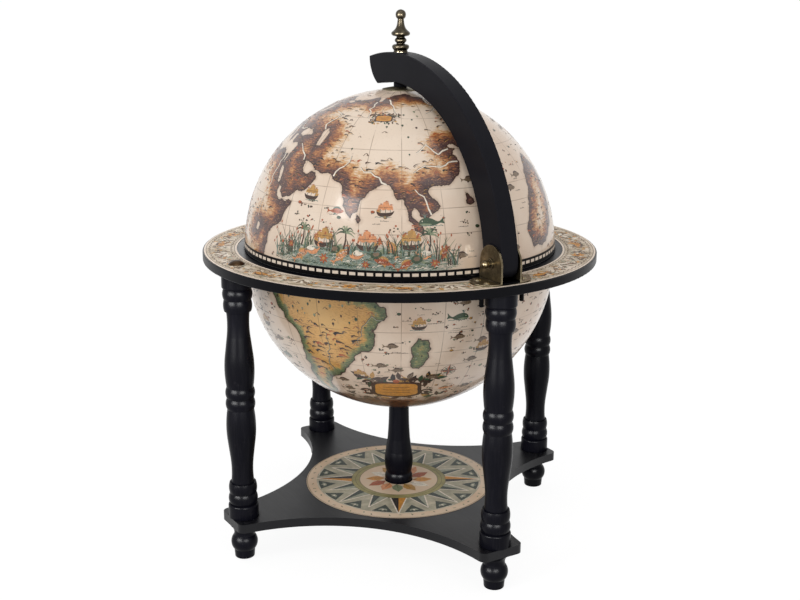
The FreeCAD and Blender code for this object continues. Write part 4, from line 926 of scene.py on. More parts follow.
def make_ink(name, colour, gloss):
    """Printed ink, uneven and a little worn through to the paper."""
    finish = Finish(name, **gloss)
    place = finish.place()
    uneven = finish.noise(place, 240.0, 5.0, 0.65)
    worn = finish.ease(finish.noise(place, 900.0, 3.0), 0.60, 0.75)
    shade = finish.mix(finish.ease(uneven, 0.35, 0.65), tint(56, 42, 34), colour)
    shade = finish.mix(0.72, shade, colour)
    finish.set("Base Color", finish.wash(shade, worn, 0.35, tint(214, 192, 168)))
    finish.bump(uneven, 0.05, 0.0003)
    return finish.material


GLOBE_INKS = [make_ink("varnished_" + name, colour, VARNISH) for name, colour in INKS.items()]
PAPER_INKS = [make_ink("matt_" + name, colour, MATT_PAPER) for name, colour in INKS.items()]
INK_NAMES = list(INKS)
PRINT_LIFT = 0.10
LAYER_STEP = 0.03
SHAPE_STEP = 0.0004
SHAPES_IN_LAYER = 60
INK_THICKNESS = 0.00007
FINE_EDGE = 7.0
RIM_MARGIN = 0.07
POLE_MARGIN = 0.985


def polar(reach, angle):
    """A point at a distance and at an angle in degrees."""
    return (reach * math.cos(math.radians(angle)), reach * math.sin(math.radians(angle)))


def on_globe(centre):
    """A surface for prints: places are latitude and longitude, shapes lie east and north in millimetres."""
    def lay(place, x, y, lift):
        heart = Vector(bearing(*place))
        east = Vector((0, 0, 1)).cross(heart).normalized()
        north = heart.cross(east)
        step = math.hypot(x, y)
        angle = step * MM / GLOBE_RADIUS
        along = (east * x + north * y) / step if step else north
        ray = heart * math.cos(angle) + along * math.sin(angle)
        return Vector((0, 0, centre)) + ray * (GLOBE_RADIUS + lift * MM)
    return lay


def on_flat(height):
    """A surface for prints: a place is a radius in millimetres and an angle, shapes point outwards."""
    def lay(place, x, y, lift):
        radius, angle = place
        out = Vector((*polar(1, angle), 0))
        side = Vector((out.y, -out.x, 0))
        spot = out * (radius + y) * MM + side * x * MM
        return Vector((spot.x, spot.y, height + lift * MM))
    return lay


class Press:
    """Gathers inked shapes laid on a surface and makes one thin piece of them."""

    def __init__(self, surface, inks):
        self.surface = surface
        self.materials = inks
        self.corners = []
        self.faces = []
        self.inks = []
        self.shapes = 0
        self.at((0, 0))

    def at(self, place, turn=0.0, size=1.0, flip=1):
        """Where the next shapes go, how they are turned and sized, and whether they are mirrored."""
        self.place = place
        self.turn = math.radians(turn)
        self.size = size
        self.flip = flip

    def shape(self, ink, points, layer=0):
        """One filled outline."""
        outline = []
        for x, y in points:
            x, y = x * self.size * self.flip, y * self.size
            cosine, sine = math.cos(self.turn), math.sin(self.turn)
            outline.append(Vector((x * cosine - y * sine, x * sine + y * cosine, 0)))
        triangles = []
        for first, second, third in tessellate_polygon([outline]):
            corners = [outline[first], outline[second], outline[third]]
            turn = (corners[1] - corners[0]).cross(corners[2] - corners[0]).z
            triangles.append(corners if turn > 0 else corners[::-1])
        while max(longest_edge(triangle) for triangle in triangles) > FINE_EDGE:
            triangles = [part for triangle in triangles for part in quarter(triangle)]
        known = {}
        # Each shape lies a hair over the last, so that no two share a plane
        self.shapes += 1
        lift = PRINT_LIFT + LAYER_STEP * layer + SHAPE_STEP * (self.shapes % SHAPES_IN_LAYER)
        for triangle in triangles:
            face = []
            for corner in triangle:
                key = (round(corner.x, 3), round(corner.y, 3))
                if key not in known:
                    known[key] = len(self.corners)
                    self.corners.append(self.surface(self.place, corner.x, corner.y, lift))
                face.append(known[key])
            if len(set(face)) == 3:
                self.faces.append(face)
                self.inks.append(INK_NAMES.index(ink))

    def stroke(self, ink, path, width, layer=0, tip=1.0):
        """A line of some width, drawn down to a share of that width at its end."""
        left = []
        right = []
        for place, (x, y) in enumerate(path):
            before = path[max(place - 1, 0)]
            after = path[min(place + 1, len(path) - 1)]
            along = Vector((after[0] - before[0], after[1] - before[1])).normalized()
            half = width / 2 * (1 + (tip - 1) * place / (len(path) - 1))
            left.append((x - along.y * half, y + along.x * half))
            right.append((x + along.y * half, y - along.x * half))
        self.shape(ink, left + right[::-1], layer)

    def curve(self, ink, points, layer, steps=3):
        """A filled outline with soft corners."""
        self.shape(ink, smooth(points, steps, True), layer)

    def line(self, ink, points, width, layer, tip=1.0, steps=2):
        """A soft stroke through a few points."""
        self.stroke(ink, smooth(points, steps), width, layer, tip)

    def disc(self, ink, x, y, radius, layer=0, sides=8, squash=1.0):
        turns = [2 * math.pi * side / sides for side in range(sides)]
        points = [(x + radius * math.cos(t), y + radius * squash * math.sin(t)) for t in turns]
        self.shape(ink, points, layer)

    def finish(self, name, body, slot):
        """The gathered shapes as one object with a little thickness."""
        mesh = bpy.data.meshes.new(name)
        mesh.from_pydata(self.corners, [], self.faces)
        for material in self.materials:
            mesh.materials.append(material)
        mesh.polygons.foreach_set("material_index", self.inks)
        piece = bpy.data.objects.new(name, mesh)
        bpy.context.scene.collection.objects.link(piece)
        only_select(piece)
        solid = piece.modifiers.new("thickness", "SOLIDIFY")
        solid.thickness = INK_THICKNESS
        solid.offset = -1
        bpy.ops.object.modifier_apply(modifier="thickness")
        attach(piece, body)


def longest_edge(triangle):
    return max((triangle[side] - triangle[side - 1]).length for side in range(3))


def quarter(triangle):
    """A triangle cut into four at the middles of its sides."""
    a, b, c = triangle
    ab, bc, ca = (a + b) / 2, (b + c) / 2, (c + a) / 2
    return [[a, ab, ca], [ab, b, bc], [ca, bc, c], [ab, bc, ca]]


def soft_step(a, b, c, d, t):
    """One coordinate of a soft curve between its second and third points."""
    bend = (2 * a - 5 * b + 4 * c - d) * t**2 + (3 * b - a - 3 * c + d) * t**3
    return 0.5 * (2 * b + (c - a) * t + bend)


def smooth(points, steps, closed=False):
    """A soft curve through a few points."""
    count = len(points)
    line = []
    for place in range(count if closed else count - 1):
        near = (place - 1, place, place + 1, place + 2)
        if closed:
            four = [points[k % count] for k in near]
        else:
            four = [points[min(max(k, 0), count - 1)] for k in near]
        for step in range(steps):
            line.append(tuple(soft_step(*numbers, step / steps) for numbers in zip(*four)))
    if not closed:
        line.append(points[-1])
    return line


def leaf_outline(x, y, angle, length, width):
    """A pointed leaf that starts at a place and grows at an angle."""
    out = polar(1, angle)
    points = []
    for share, half in ((0, 0.0), (0.3, 0.45), (0.6, 0.42), (1.0, 0.0), (0.6, -0.42), (0.3, -0.45)):
        points.append((x + out[0] * length * share - out[1] * width * half,
                       y + out[1] * length * share + out[0] * width * half))
    return points


# Motifs of the old map, in millimetres about their own middle
SHIP_HULL = [(-8.5, 2), (-7, -1.8), (-3, -3.2), (4, -3), (7.4, -1), (9.4, 3), (6, 1.2), (-4, 0.6)]
SHIP_MASTS = [(-4.6, 8.5, 2.3), (0.6, 11.5, 3.1), (5.4, 8.0, 2.0)]
SHIP_WAVE = [(-4, -4), (-2, -3.3), (0, -4), (3, -3.5)]
FISH_BODY = [
    (9, 0.4), (5, 2.9), (0, 3.3), (-5, 1.6), (-8, 0.5), (-11.5, 3.6), (-10.4, 0.2), (-11.5, -2.8),
    (-8, -0.4), (-4, -2.0), (2, -2.6), (6.4, -1.8),
]
FISH_FIN = [(6, 2.3), (2, 5.2), (-3, 4.2), (-4, 2.0), (0, 3.2)]
WHALE_BODY = [
    (13, -1), (11, 3), (5, 5.4), (-2, 4), (-8, 1), (-12, 2.8), (-15.5, 6.6), (-14.6, 2), (-16, -1.4),
    (-11, -0.6), (-5, -3), (4, -3.8), (10, -3),
]
WHALE_BELLY = [(12, -1.4), (6, -1.0), (-2, -2.0), (4, -3.4), (10, -2.8)]
WHALE_WAVE = [(-4, -4), (-1.5, -3), (1, -4), (4, -3.2)]
SWAN_BODY = [(-7, 1.5), (-3, 3.4), (2, 2.6), (5, 0.4), (3, -2), (-3, -2.2), (-8.6, 3)]
SWAN_NECK = [(4, 0.6), (6.4, 3), (5, 6), (6.2, 8.2), (8, 8)]
PALM_TOP = 12
SCROLL_STEPS = 14


def draw_wavelets(press, sides, wave, width):
    """Small waves along a keel."""
    for side in sides:
        press.line("teal", [(side + x, y) for x, y in wave], width, 3, 0.3)


def draw_ship(press, sail, flag):
    press.curve("umber", SHIP_HULL, 1)
    press.stroke("soot", [(-7.6, -0.2), (0, -1.2), (7.6, 0.8)], 0.5, 2)
    press.shape("ochre", [(-8.5, 2), (-8.8, 4), (-5.2, 3.2), (-4.6, 0.8)], 1)
    for foot, height, half in SHIP_MASTS:
        press.stroke("soot", [(foot, 0.8), (foot, height + 1.6)], 0.45, 1)
        canvas = [(foot - half, 3.2), (foot - half * 0.8, height), (foot + half * 0.9, height),
                  (foot + half * 1.35, 3.4), (foot + 0.4, 4.4)]
        press.curve(sail, canvas, 2, 2)
        press.stroke("umber", [(foot - half * 0.7, 6), (foot + half, 6)], 0.35, 3)
        press.shape(flag, [(foot, height + 1.8), (foot + 3.2, height + 1.0), (foot, height + 0.5)], 2)
    draw_wavelets(press, (-6, -1, 4), SHIP_WAVE, 0.8)


def draw_fish(press, body, back):
    press.curve(body, FISH_BODY, 1, 2)
    press.curve(back, FISH_FIN, 2, 2)
    press.shape(back, [(1, -2.2), (-2.6, -4.6), (-3, -1.8)], 2)
    press.line("umber", [(5.4, 2.4), (4.6, 0.4), (5.2, -1.6)], 0.5, 3, steps=3)
    press.disc("soot", 6.6, 0.9, 0.5, 3, 6)
    for mark in (-3, -0.5, 2):
        press.line("umber", [(mark, 1.7), (mark - 0.8, 0.2), (mark, -1.2)], 0.4, 3, 0.3)


def draw_whale(press):
    press.curve("leaf", WHALE_BODY, 1)
    press.curve("sage", WHALE_BELLY, 2, 2)
    press.disc("cream", 9.2, 1.6, 0.7, 2, 6)
    for lean in (-2.2, 0, 2.2):
        press.line("teal", [(6, 5), (6 + lean * 0.6, 8), (6 + lean * 1.7, 9.6)], 0.8, 1, 0.3, 3)
    draw_wavelets(press, (-10, -3, 4, 10), WHALE_WAVE, 0.9)


def draw_swan(press, colour):
    press.curve(colour, SWAN_BODY, 1)
    press.curve("cream", [(-6, 2), (-1, 5), (2, 2.4), (-1, 0)], 2)
    press.line(colour, SWAN_NECK, 1.6, 1, 0.6, 4)
    press.shape("rust", [(7.6, 8.8), (10, 7.4), (7.6, 7.4)], 2)
    press.line("umber", [(-6, 1.4), (-2, 0.2), (2, 1.2)], 0.4, 3, 0.3, 3)


def draw_turtle(press):
    for angle in (35, 140, 215, 325):
        across, along = polar(1, angle)
        press.shape("sage", leaf_outline(3 * across, 2 * along, angle, 6, 2.6), 1)
    press.shape("sage", leaf_outline(4, 0.6, 10, 6, 2.6), 1)
    press.disc("leaf", 0, 0, 5.4, 2, 12, 0.72)
    press.disc("taupe", 0, 0.5, 3.2, 3, 6, 0.7)


def draw_flower(press, petal, heart, size):
    for number in range(7):
        press.shape(petal, leaf_outline(0, 0, 360 / 7 * number + 12, size, size * 0.42), 2)
    press.disc(heart, 0, 0, size * 0.28, 3, 7)


def draw_reeds(press, chance, count, height):
    for number in range(count):
        foot = chance.uniform(-0.30, 0.30) * height
        lean = chance.uniform(-0.45, 0.45) * height
        tall = height * chance.uniform(0.55, 1.05)
        stem = [(foot, 0), (foot + lean * 0.25, tall * 0.55), (foot + lean, tall)]
        ink = chance.choice(["leaf", "leaf", "sage", "teal", "umber"])
        press.line(ink, stem, chance.uniform(1.0, 2.0), chance.randint(1, 2), 0.12, 4)
        if chance.random() < 0.3:
            press.shape("rust", leaf_outline(foot + lean, tall - 1, 80, 4.4, 2.2), 3)


def draw_palm(press):
    press.line("umber", [(-0.8, 0), (0.4, 6), (0.2, PALM_TOP)], 1.5, 1, 0.6, 4)
    for angle in (8, 42, 80, 112, 150, 186, -20):
        across, along = polar(1, angle)
        bend = (across * 4, PALM_TOP + 0.6 + along * 4)
        tip = (across * 7.4, PALM_TOP + along * 4.4 - 1.6)
        press.line("leaf" if angle % 4 else "sage", [(0.2, PALM_TOP), bend, tip], 1.7, 2, 0.15, 4)


def draw_waves(press, chance, ink, reach):
    start = chance.uniform(0, 1.2)
    path = [(-reach / 2 + reach * k / 4, (start if k % 2 else -0.7)) for k in range(5)]
    press.line(ink, path, chance.uniform(0.6, 1.3), chance.randint(0, 1), 0.25)


def draw_specks(press, chance, count, spread):
    for number in range(count):
        x, y = chance.gauss(0, spread), chance.gauss(0, spread * 0.55)
        ink = chance.choice(["umber", "umber", "soot", "taupe", "rust", "leaf"])
        press.disc(ink, x, y, chance.uniform(0.5, 1.4), 0, 6)


def draw_hill(press, chance, ink):
    wide = chance.uniform(2.2, 3.6)
    high = chance.uniform(1.8, 3.2)
    press.shape("taupe", [(0, high), (wide * 0.55, high * 0.55), (wide, 0), (wide * 0.2, 0.2)], 0)
    crest = [(-wide, 0), (-wide * 0.4, high * 0.75), (0, high), (wide * 0.5, high * 0.55), (wide, 0)]
    press.line(ink, crest, 0.6, 1, 0.5)


def draw_ridge(press, chance, ink):
    long = chance.uniform(2.4, 5.2)
    path = [(-long, chance.uniform(-1, 1)), (-long * 0.3, chance.uniform(0.2, 1.5)),
            (long * 0.3, chance.uniform(-0.6, 0.9)), (long, chance.uniform(-1.2, 0.6))]
    press.line(ink, path, chance.uniform(1.2, 2.6), 1, 0.1)
    light = [(x, y - 1.5) for x, y in path[:3]]
    press.stroke(chance.choice(["ochre", "peach", "taupe"]), light, 0.8, 0, 0.2)


def draw_course(press, line, ink, width, side):
    """A river, wide at its mouth and narrow at its source, where it runs on one half of the globe."""
    for place, (start, stop) in enumerate(zip(line, line[1:])):
        middle = Vector((start + stop) / 2).normalized()
        if min(start[2] * side, stop[2] * side) < RIM_MARGIN:
            continue
        east = Vector((0, 0, 1)).cross(middle).normalized()
        along = Vector(stop - start)
        reach = along.length * GLOBE_RADIUS / MM / 2 + 0.3
        press.at((math.degrees(math.asin(middle.z)), math.degrees(math.atan2(middle.y, middle.x))),
                 math.degrees(math.atan2(along.dot(middle.cross(east)), along.dot(east))))
        share = 1 - 0.7 * place / len(line)
        press.stroke("umber", [(-reach, -0.3), (reach, -0.3)], (width + 0.6) * share, 3)
        press.stroke(ink, [(-reach, 0), (reach, 0)], width * share, 4)


def draw_islet(press, chance):
    radius = chance.uniform(1.2, 2.6)
    press.disc("umber", 0.4, -0.4, radius + 0.5, 0, 8, 0.7)
    press.disc(chance.choice(["ochre", "leaf", "sage", "rust"]), 0, 0, radius, 1, 8, 0.7)
    for mark in range(3):
        press.disc("umber", chance.uniform(-4, 4), chance.uniform(-3, 3), 0.45, 0, 5)


def draw_dashes(press, chance):
    """A row of small unlike strokes that breaks up an empty stretch."""
    for mark in range(chance.randint(5, 9)):
        tall = chance.uniform(0.5, 1.5)
        press.stroke("soot", [(mark * 1.5, 0), (mark * 1.5 + chance.uniform(0.2, 0.8), tall)], 0.75, 0, 0.6)


def draw_tree(press, chance):
    press.stroke("umber", [(0, 0), (0, 1.6)], 0.5, 1)
    crown = chance.choice(["leaf", "leaf", "sage", "umber"])
    press.disc(crown, 0, 2.6, chance.uniform(1.1, 1.7), 1, 7, 1.15)


def draw_star(press, points, reach, inner, inks, layer):
    """A star of split points, light on one side of each and dark on the other."""
    half = 180 / points
    for number in range(points):
        angle = 90 + 360 / points * number
        for side, ink in zip((half, -half), inks):
            press.shape(ink, [(0, 0), polar(inner, angle + side), polar(reach, angle)], layer)


def draw_compass(press):
    for radius, width in ((9.5, 0.5), (6.6, 0.4)):
        press.stroke("umber", [polar(radius, angle) for angle in range(0, 361, 15)], width, 0)
    press.at(press.place, 45, press.size)
    draw_star(press, 4, 9.2, 2.6, ("sage", "leaf"), 1)
    press.at(press.place, 22.5, press.size)
    draw_star(press, 8, 6.2, 2.0, ("ochre", "umber"), 0)
    press.at(press.place, 0, press.size)
    draw_star(press, 4, 12.5, 3.0, ("rust", "soot"), 2)


def draw_scroll(press, ink, x, y, radius, turns, flip, width, layer):
    """A spiral curl."""
    path = []
    last = SCROLL_STEPS * turns
    for step in range(int(last) + 1):
        angle = 2 * math.pi * step / SCROLL_STEPS
        reach = radius * (1 - 0.82 * step / last)
        path.append((x + flip * reach * math.cos(angle), y + reach * math.sin(angle)))
    press.stroke(ink, path, width, layer, 0.5)


def shield(half, bulge, high, crown, keel):
    """Outline of a shield about its middle."""
    return [(-half, -high), (-bulge, 0), (-half, high), (0, crown), (half, high), (bulge, 0), (half, -high),
            (0, -keel)]


def draw_cartouche(press, chance, wide, high):
    """A plain shield between scrolls and leaves."""
    press.curve("umber", shield(wide, wide * 1.12, high, high * 1.2, high * 1.25), 1)
    press.curve("amber", shield(wide * 0.86, wide * 0.94, high * 0.8, high * 0.98, high), 2)
    for level in (-0.4 * high, 0.0, 0.4 * high):
        press.stroke("umber", [(-wide * 0.6, level), (0, level + 0.4), (wide * 0.6, level)], 0.4, 3)
    for flip in (-1, 1):
        for x, y, radius in ((1.25, 0.75, 0.42), (1.3, -0.6, 0.5), (0.75, 1.35, 0.36)):
            draw_scroll(press, "umber", flip * wide * x, high * y, high * radius, 1.4, flip, high * 0.2, 3)
        for number in range(34):
            spot = chance.uniform(0.1, 1.9) * wide * flip
            rise = chance.choice([-1, 1, 1]) * chance.uniform(0.9, 1.7) * high
            ink = chance.choice(["leaf", "umber", "umber", "soot", "ochre", "taupe"])
            press.shape(ink, leaf_outline(spot, rise, chance.uniform(0, 360), high * 0.9, high * 0.4), 0)
    press.disc("rust", 0, high * 1.3, high * 0.26, 3)


# Prints on the lid and the bowl
VIGNETTE_EAST = -11.0
VIGNETTE_WEST = -77.0
VIGNETTE_TOP = 15
SCATTER_TRIES = 4800
LID_SEED = 23
VIGNETTE_SEED = 5
BOWL_SEED = 31
WAVELETS = 420
REEDS_IN_BED = 15
LID_MARK_GAP = 5.6
BOWL_MARK_GAP = 5.8
LID_SHIPS = [(26, -66, -1), (22, -36, 1), (24, 4, 1), (45, 60, 1), (20, 95, -1), (30, 140, 1),
             (18, 170, 1), (40, -150, -1), (17, -120, 1)]
LID_BEASTS = [(22, -54), (19, -20), (16, 64), (30, 75), (22, 120), (34, 165), (24, -150)]
LID_COMPASSES = [(27, 70), (28, -128), (33, 120)]
LID_CARTOUCHE = (60, -42)
BOWL_SHIPS = [(-13, -24, 1), (-36, -47, -1), (-20, -92, 1), (-24, 2, 1), (-35, 75, 1), (-20, 95, -1),
              (-30, 165, 1), (-25, -130, -1), (-45, -110, 1), (-48, 100, 1)]
BOWL_BEASTS = [(-33, -88), (-44, -8), (-26, 60), (-14, 70), (-20, -150), (-40, -140), (-10, -10)]
BOWL_COMPASSES = [LOWER_ROSE, (-30, 85), (-28, -118)]
BOWL_CARTOUCHES = [(-44, -32, 1.9), (-47, 100, 1.2), (-45, -150, 1.2)]

# Things in the vignette: longitude and latitude, then height, turn, size or facing side
REED_BEDS = [
    (-76, 4.6, 26), (-73, 5.6, 36), (-69.5, 6.5, 30), (-63.5, 8.5, 26), (-54, 8.5, 30), (-47, 8.0, 18),
    (-40.5, 9.0, 24), (-34, 8.6, 24), (-30, 8.0, 32), (-24, 7.6, 24), (-17, 6.0, 34), (-12.5, 4.6, 26),
]
PALMS = [(-49.5, 9.6), (-66, 9.4), (-20.5, 9.6)]
BOATS = [(-57.5, 11.0, 1), (-41.5, 10.8, -1), (-27, 11.4, 1)]
LEAPING_FISH = [
    (-66, 6.4, 35, 1), (-50.5, 7.4, 40, 1), (-36, 6.0, 15, -1), (-28.5, 5.2, 30, 1), (-15.5, 8.6, 50, 1),
    (-33.5, 10.6, 60, -1),
]
SWANS = [(-61.5, 8.0, 1), (-45.5, 7.6, -1), (-22.5, 8.0, -1)]
TURTLES = [(-53, 9.4), (-38.5, 8.4), (-25, 7.0)]
WATER_FLOWERS = [
    (-57, 6.0, 7.0), (-42, 5.0, 5.4), (-19, 5.6, 6.0), (-71, 9.4, 5.0), (-37.5, 12.6, 5.0),
    (-60.5, 13.2, 4.4),
]


def scatter(chance, side, gap, lines):
    """Places at random on half of the globe, no two closer than a gap, with their ways to the coast."""
    rays = []
    places = []
    least = math.cos(gap * MM / GLOBE_RADIUS)
    for number in range(SCATTER_TRIES):
        latitude = side * math.degrees(math.asin(chance.uniform(RIM_MARGIN, POLE_MARGIN)))
        place = (latitude, chance.uniform(-180, 180))
        ray = bearing(*place)
        if all(ray @ other < least for other in rays):
            rays.append(ray)
            places.append(place)
    return zip(coast_distance(np.array(rays), lines), places)


def in_vignette(latitude, longitude):
    return 0 < latitude < VIGNETTE_TOP and VIGNETTE_WEST < longitude < VIGNETTE_EAST


def fill_sea(press, chance, place):
    """One of the small things that dot an old map's sea."""
    press.at(place)
    choice = chance.random()
    if choice < 0.42:
        draw_specks(press, chance, chance.randint(4, 9), chance.uniform(1.4, 3.2))
    elif choice < 0.62:
        draw_islet(press, chance)
    elif choice < 0.94:
        draw_dashes(press, chance)
    else:
        draw_fish(press, "taupe", "umber")


def print_lid():
    """Ridges, trees and rivers on the lid's land, small marks and larger motifs on its sea."""
    land = Press(on_globe(LID_CENTRE), GLOBE_INKS)
    press = Press(on_globe(LID_CENTRE), GLOBE_INKS)
    chance = random.Random(LID_SEED)
    for coast, place in scatter(chance, 1, LID_MARK_GAP, LID_LINES):
        if in_vignette(*place):
            continue
        if 2 < coast < 36 and chance.random() < 0.85:
            land.at(place, chance.uniform(-22, 22), chance.uniform(0.7, 1.2))
            draw_ridge(land, chance, chance.choice(["umber", "umber", "soot", "soot", "rust"]))
        elif coast > 24 and chance.random() < 0.35:
            land.at(place, 0, chance.uniform(0.8, 1.3))
            if chance.random() < 0.6:
                draw_tree(land, chance)
            else:
                draw_hill(land, chance, "umber")
        elif coast < -10 and chance.random() < 0.36:
            fill_sea(press, chance, place)
    for line in LID_LINES[2]:
        draw_course(land, line, "cream", 2.0, 1)
    land.finish("lid_land_marks", "lid", "globe_print")
    for *place, flip in LID_SHIPS:
        press.at(place, 0, 1.2, flip)
        draw_ship(press, "peach" if flip > 0 else "ochre", "rust")
    for number, place in enumerate(LID_BEASTS):
        press.at(place, 0, 1.1, -1 if number % 2 else 1)
        if number % 3 == 0:
            draw_fish(press, "rust", "leaf")
        else:
            draw_whale(press)
    for place in LID_COMPASSES:
        press.at(place)
        draw_compass(press)
    press.at(LID_CARTOUCHE)
    draw_cartouche(press, chance, 10, 5.5)
    print_vignette(press, random.Random(VIGNETTE_SEED))
    press.finish("lid_motifs", "lid", "globe_print")


def print_vignette(press, chance):
    """A lagoon low on the lid's front with boats, swans, fish, turtles, flowers, palms and reeds."""
    for number in range(WAVELETS):
        place = (chance.uniform(3.7, 10.0), chance.uniform(VIGNETTE_WEST, VIGNETTE_EAST))
        press.at(place, chance.uniform(-12, 12))
        ink = chance.choice(["teal", "leaf", "leaf", "sage", "cream"])
        draw_waves(press, chance, ink, chance.uniform(5, 11))
    for longitude, latitude, height in REED_BEDS:
        press.at((latitude, longitude))
        draw_reeds(press, chance, REEDS_IN_BED, height)
    for longitude, latitude in PALMS:
        press.at((latitude, longitude), 0, 1.7)
        draw_palm(press)
    for longitude, latitude, flip in BOATS:
        press.at((latitude, longitude), 0, 1.55, flip)
        draw_ship(press, "ochre" if flip > 0 else "peach", "rust")
    for longitude, latitude, turn, flip in LEAPING_FISH:
        press.at((latitude, longitude), turn * flip, chance.uniform(1.15, 1.45), flip)
        draw_fish(press, chance.choice(["peach", "rust", "peach"]), "ochre")
    for longitude, latitude, flip in SWANS:
        press.at((latitude, longitude), 0, 1.5, flip)
        draw_swan(press, "peach")
    for longitude, latitude in TURTLES:
        press.at((latitude, longitude), 8, 1.35)
        draw_turtle(press)
    for longitude, latitude, size in WATER_FLOWERS:
        press.at((latitude, longitude))
        draw_flower(press, "rust", "ochre", size)


def print_bowl():
    """Ridges, hills, trees and rivers on the bowl's land, small marks and larger motifs on its sea."""
    land = Press(on_globe(BOWL_CENTRE), GLOBE_INKS)
    sea = Press(on_globe(BOWL_CENTRE), GLOBE_INKS)
    press = Press(on_globe(BOWL_CENTRE), GLOBE_INKS)
    chance = random.Random(BOWL_SEED)
    for coast, place in scatter(chance, -1, BOWL_MARK_GAP, BOWL_LINES):
        if coast > 12 and place[0] < -14 and chance.random() < 0.95:
            land.at(place, chance.uniform(-14, 14), chance.uniform(1.0, 1.9))
            draw_ridge(land, chance, chance.choice(["umber", "umber", "soot", "rust", "taupe"]))
        elif coast > 10 and chance.random() < 0.55:
            land.at(place, chance.uniform(-10, 10), chance.uniform(0.8, 1.3))
            draw_hill(land, chance, chance.choice(["umber", "umber", "rust"]))
        elif coast > 2 and chance.random() < 0.8:
            land.at(place, 0, chance.uniform(0.8, 1.4))
            draw_tree(land, chance)
        elif coast < -9 and place[0] > -56 and chance.random() < 0.64:
            fill_sea(sea, chance, place)
    for line in BOWL_LINES[2]:
        halfway = line[len(line) // 2]
        if coast_distance(halfway[None], BOWL_LINES)[0] > 0:
            draw_course(land, line, "stone", 1.0, -1)
    land.finish("bowl_land_marks", "stand", "globe_print")
    sea.finish("bowl_sea_marks", "stand", "globe_print")
    for *place, flip in BOWL_SHIPS:
        press.at(place, 0, 1.1, flip)
        draw_ship(press, "ochre", "rust")
    for number, place in enumerate(BOWL_BEASTS):
        press.at(place, 0, 1.0, -1 if number % 2 else 1)
        if number % 3 == 0:
            draw_whale(press)
        else:
            draw_fish(press, "peach", "leaf")
    for place in BOWL_COMPASSES:
        press.at(place)
        draw_compass(press)
    for *place, size in BOWL_CARTOUCHES:
        press.at(place, 0, size)
        draw_cartouche(press, chance, 15, 9)
    press.finish("bowl_motifs", "stand", "globe_print")


print_lid()
print_bowl()


def on_ring(height):
    """A surface for prints round a ring: shapes follow its bend, with their upper side outwards."""
    def lay(place, x, y, lift):
        radius, angle = place
        turn = math.radians(angle) - x / radius
        reach = (radius + y) * MM
        return Vector((reach * math.cos(turn), reach * math.sin(turn), height + lift * MM))
    return lay


# Prints on the ring and the base, in millimetres
RING_MIDDLE = (RING_PAPER_INNER + RING_PAPER_OUTER) / 2 / MM
RING_UNITS = 24
RING_SEED = 7
BASE_SEED = 17
RING_LEAVES = 15
RING_DOTS = 9
WAVE_STEPS = 12
WAVE_HEIGHT = 8.0
ZIGZAG_REACH = 14.4
ZIGZAG_HALF = 1.3
ROSE_TURN = 59.3
ROSE_INNER = 68.0
ROSE_OUTER = 115.5
ROSE_POINTS = 16
POINT_HALF = 9.4
WEDGE_HALF = 7.4
WEDGE_DEPTH = 24
LEAF_ROOT = 20
LEAF_INKS = ("amber", "cream", "ochre", "sage", "peach", "rust")


def print_ring():
    """Vines with leaves, curls, flowers, fish and shells between two zigzag borders round the ring."""
    press = Press(on_ring(RING_PAPER_TOP), PAPER_INKS)
    chance = random.Random(RING_SEED)
    length = 2 * math.pi * RING_MIDDLE / RING_UNITS
    steps = [(length * (k / WAVE_STEPS - 0.5), k) for k in range(WAVE_STEPS + 1)]
    wave = [(x, WAVE_HEIGHT * math.sin(2 * math.pi * k / WAVE_STEPS)) for x, k in steps]
    for unit in range(RING_UNITS):
        place = (RING_MIDDLE, 360 / RING_UNITS * unit)
        press.at(place)
        press.stroke("taupe", wave, 1.5, 1)
        for side in (-1, 1):
            zigzag = [(x, side * (ZIGZAG_REACH - ZIGZAG_HALF * (-1) ** k)) for x, k in steps]
            press.stroke("umber", zigzag, 0.9, 0)
            middle = -side * length / 4
            draw_scroll(press, "umber", middle, -side * 0.5, 5.2, 1.6, side, 0.9, 2)
            for number in range(RING_LEAVES):
                angle = chance.uniform(0, 360)
                across, along = polar(chance.uniform(4.0, 10.0), angle)
                ink = chance.choice(["cream", "ochre", "stone", "taupe", "taupe", "umber", "amber"])
                lean = angle + chance.uniform(-60, 60)
                leaf = leaf_outline(middle + across, 0.8 * along, lean, chance.uniform(5, 10), 4.4)
                press.shape(ink, leaf, 0)
            for number in range(RING_DOTS):
                spot = (chance.uniform(-length / 2, length / 2), chance.uniform(-12, 12))
                ink = chance.choice(["umber", "taupe", "rust", "sage"])
                press.disc(ink, *spot, chance.uniform(0.6, 1.3), 3, 6)
        kind = unit % 3
        if kind == 0:
            draw_flower(press, "amber", "umber", 11.0)
        elif kind == 1:
            press.at(place, 0, 1.6, 1 if unit % 2 else -1)
            draw_fish(press, "amber", "umber")
        else:
            for angle in range(30, 151, 20):
                ink = "cream" if angle % 40 == 30 else "taupe"
                press.shape(ink, leaf_outline(0, -8, angle, 19, 6.0), 2)
            press.disc("umber", 0, -5, 1.8, 3)
    press.finish("ring_ornament", "stand", "paper_print")


def ray_point(radius, angle):
    """A point of the rose, with its angle counted from straight outwards."""
    along, across = polar(radius, angle)
    return (across, along)


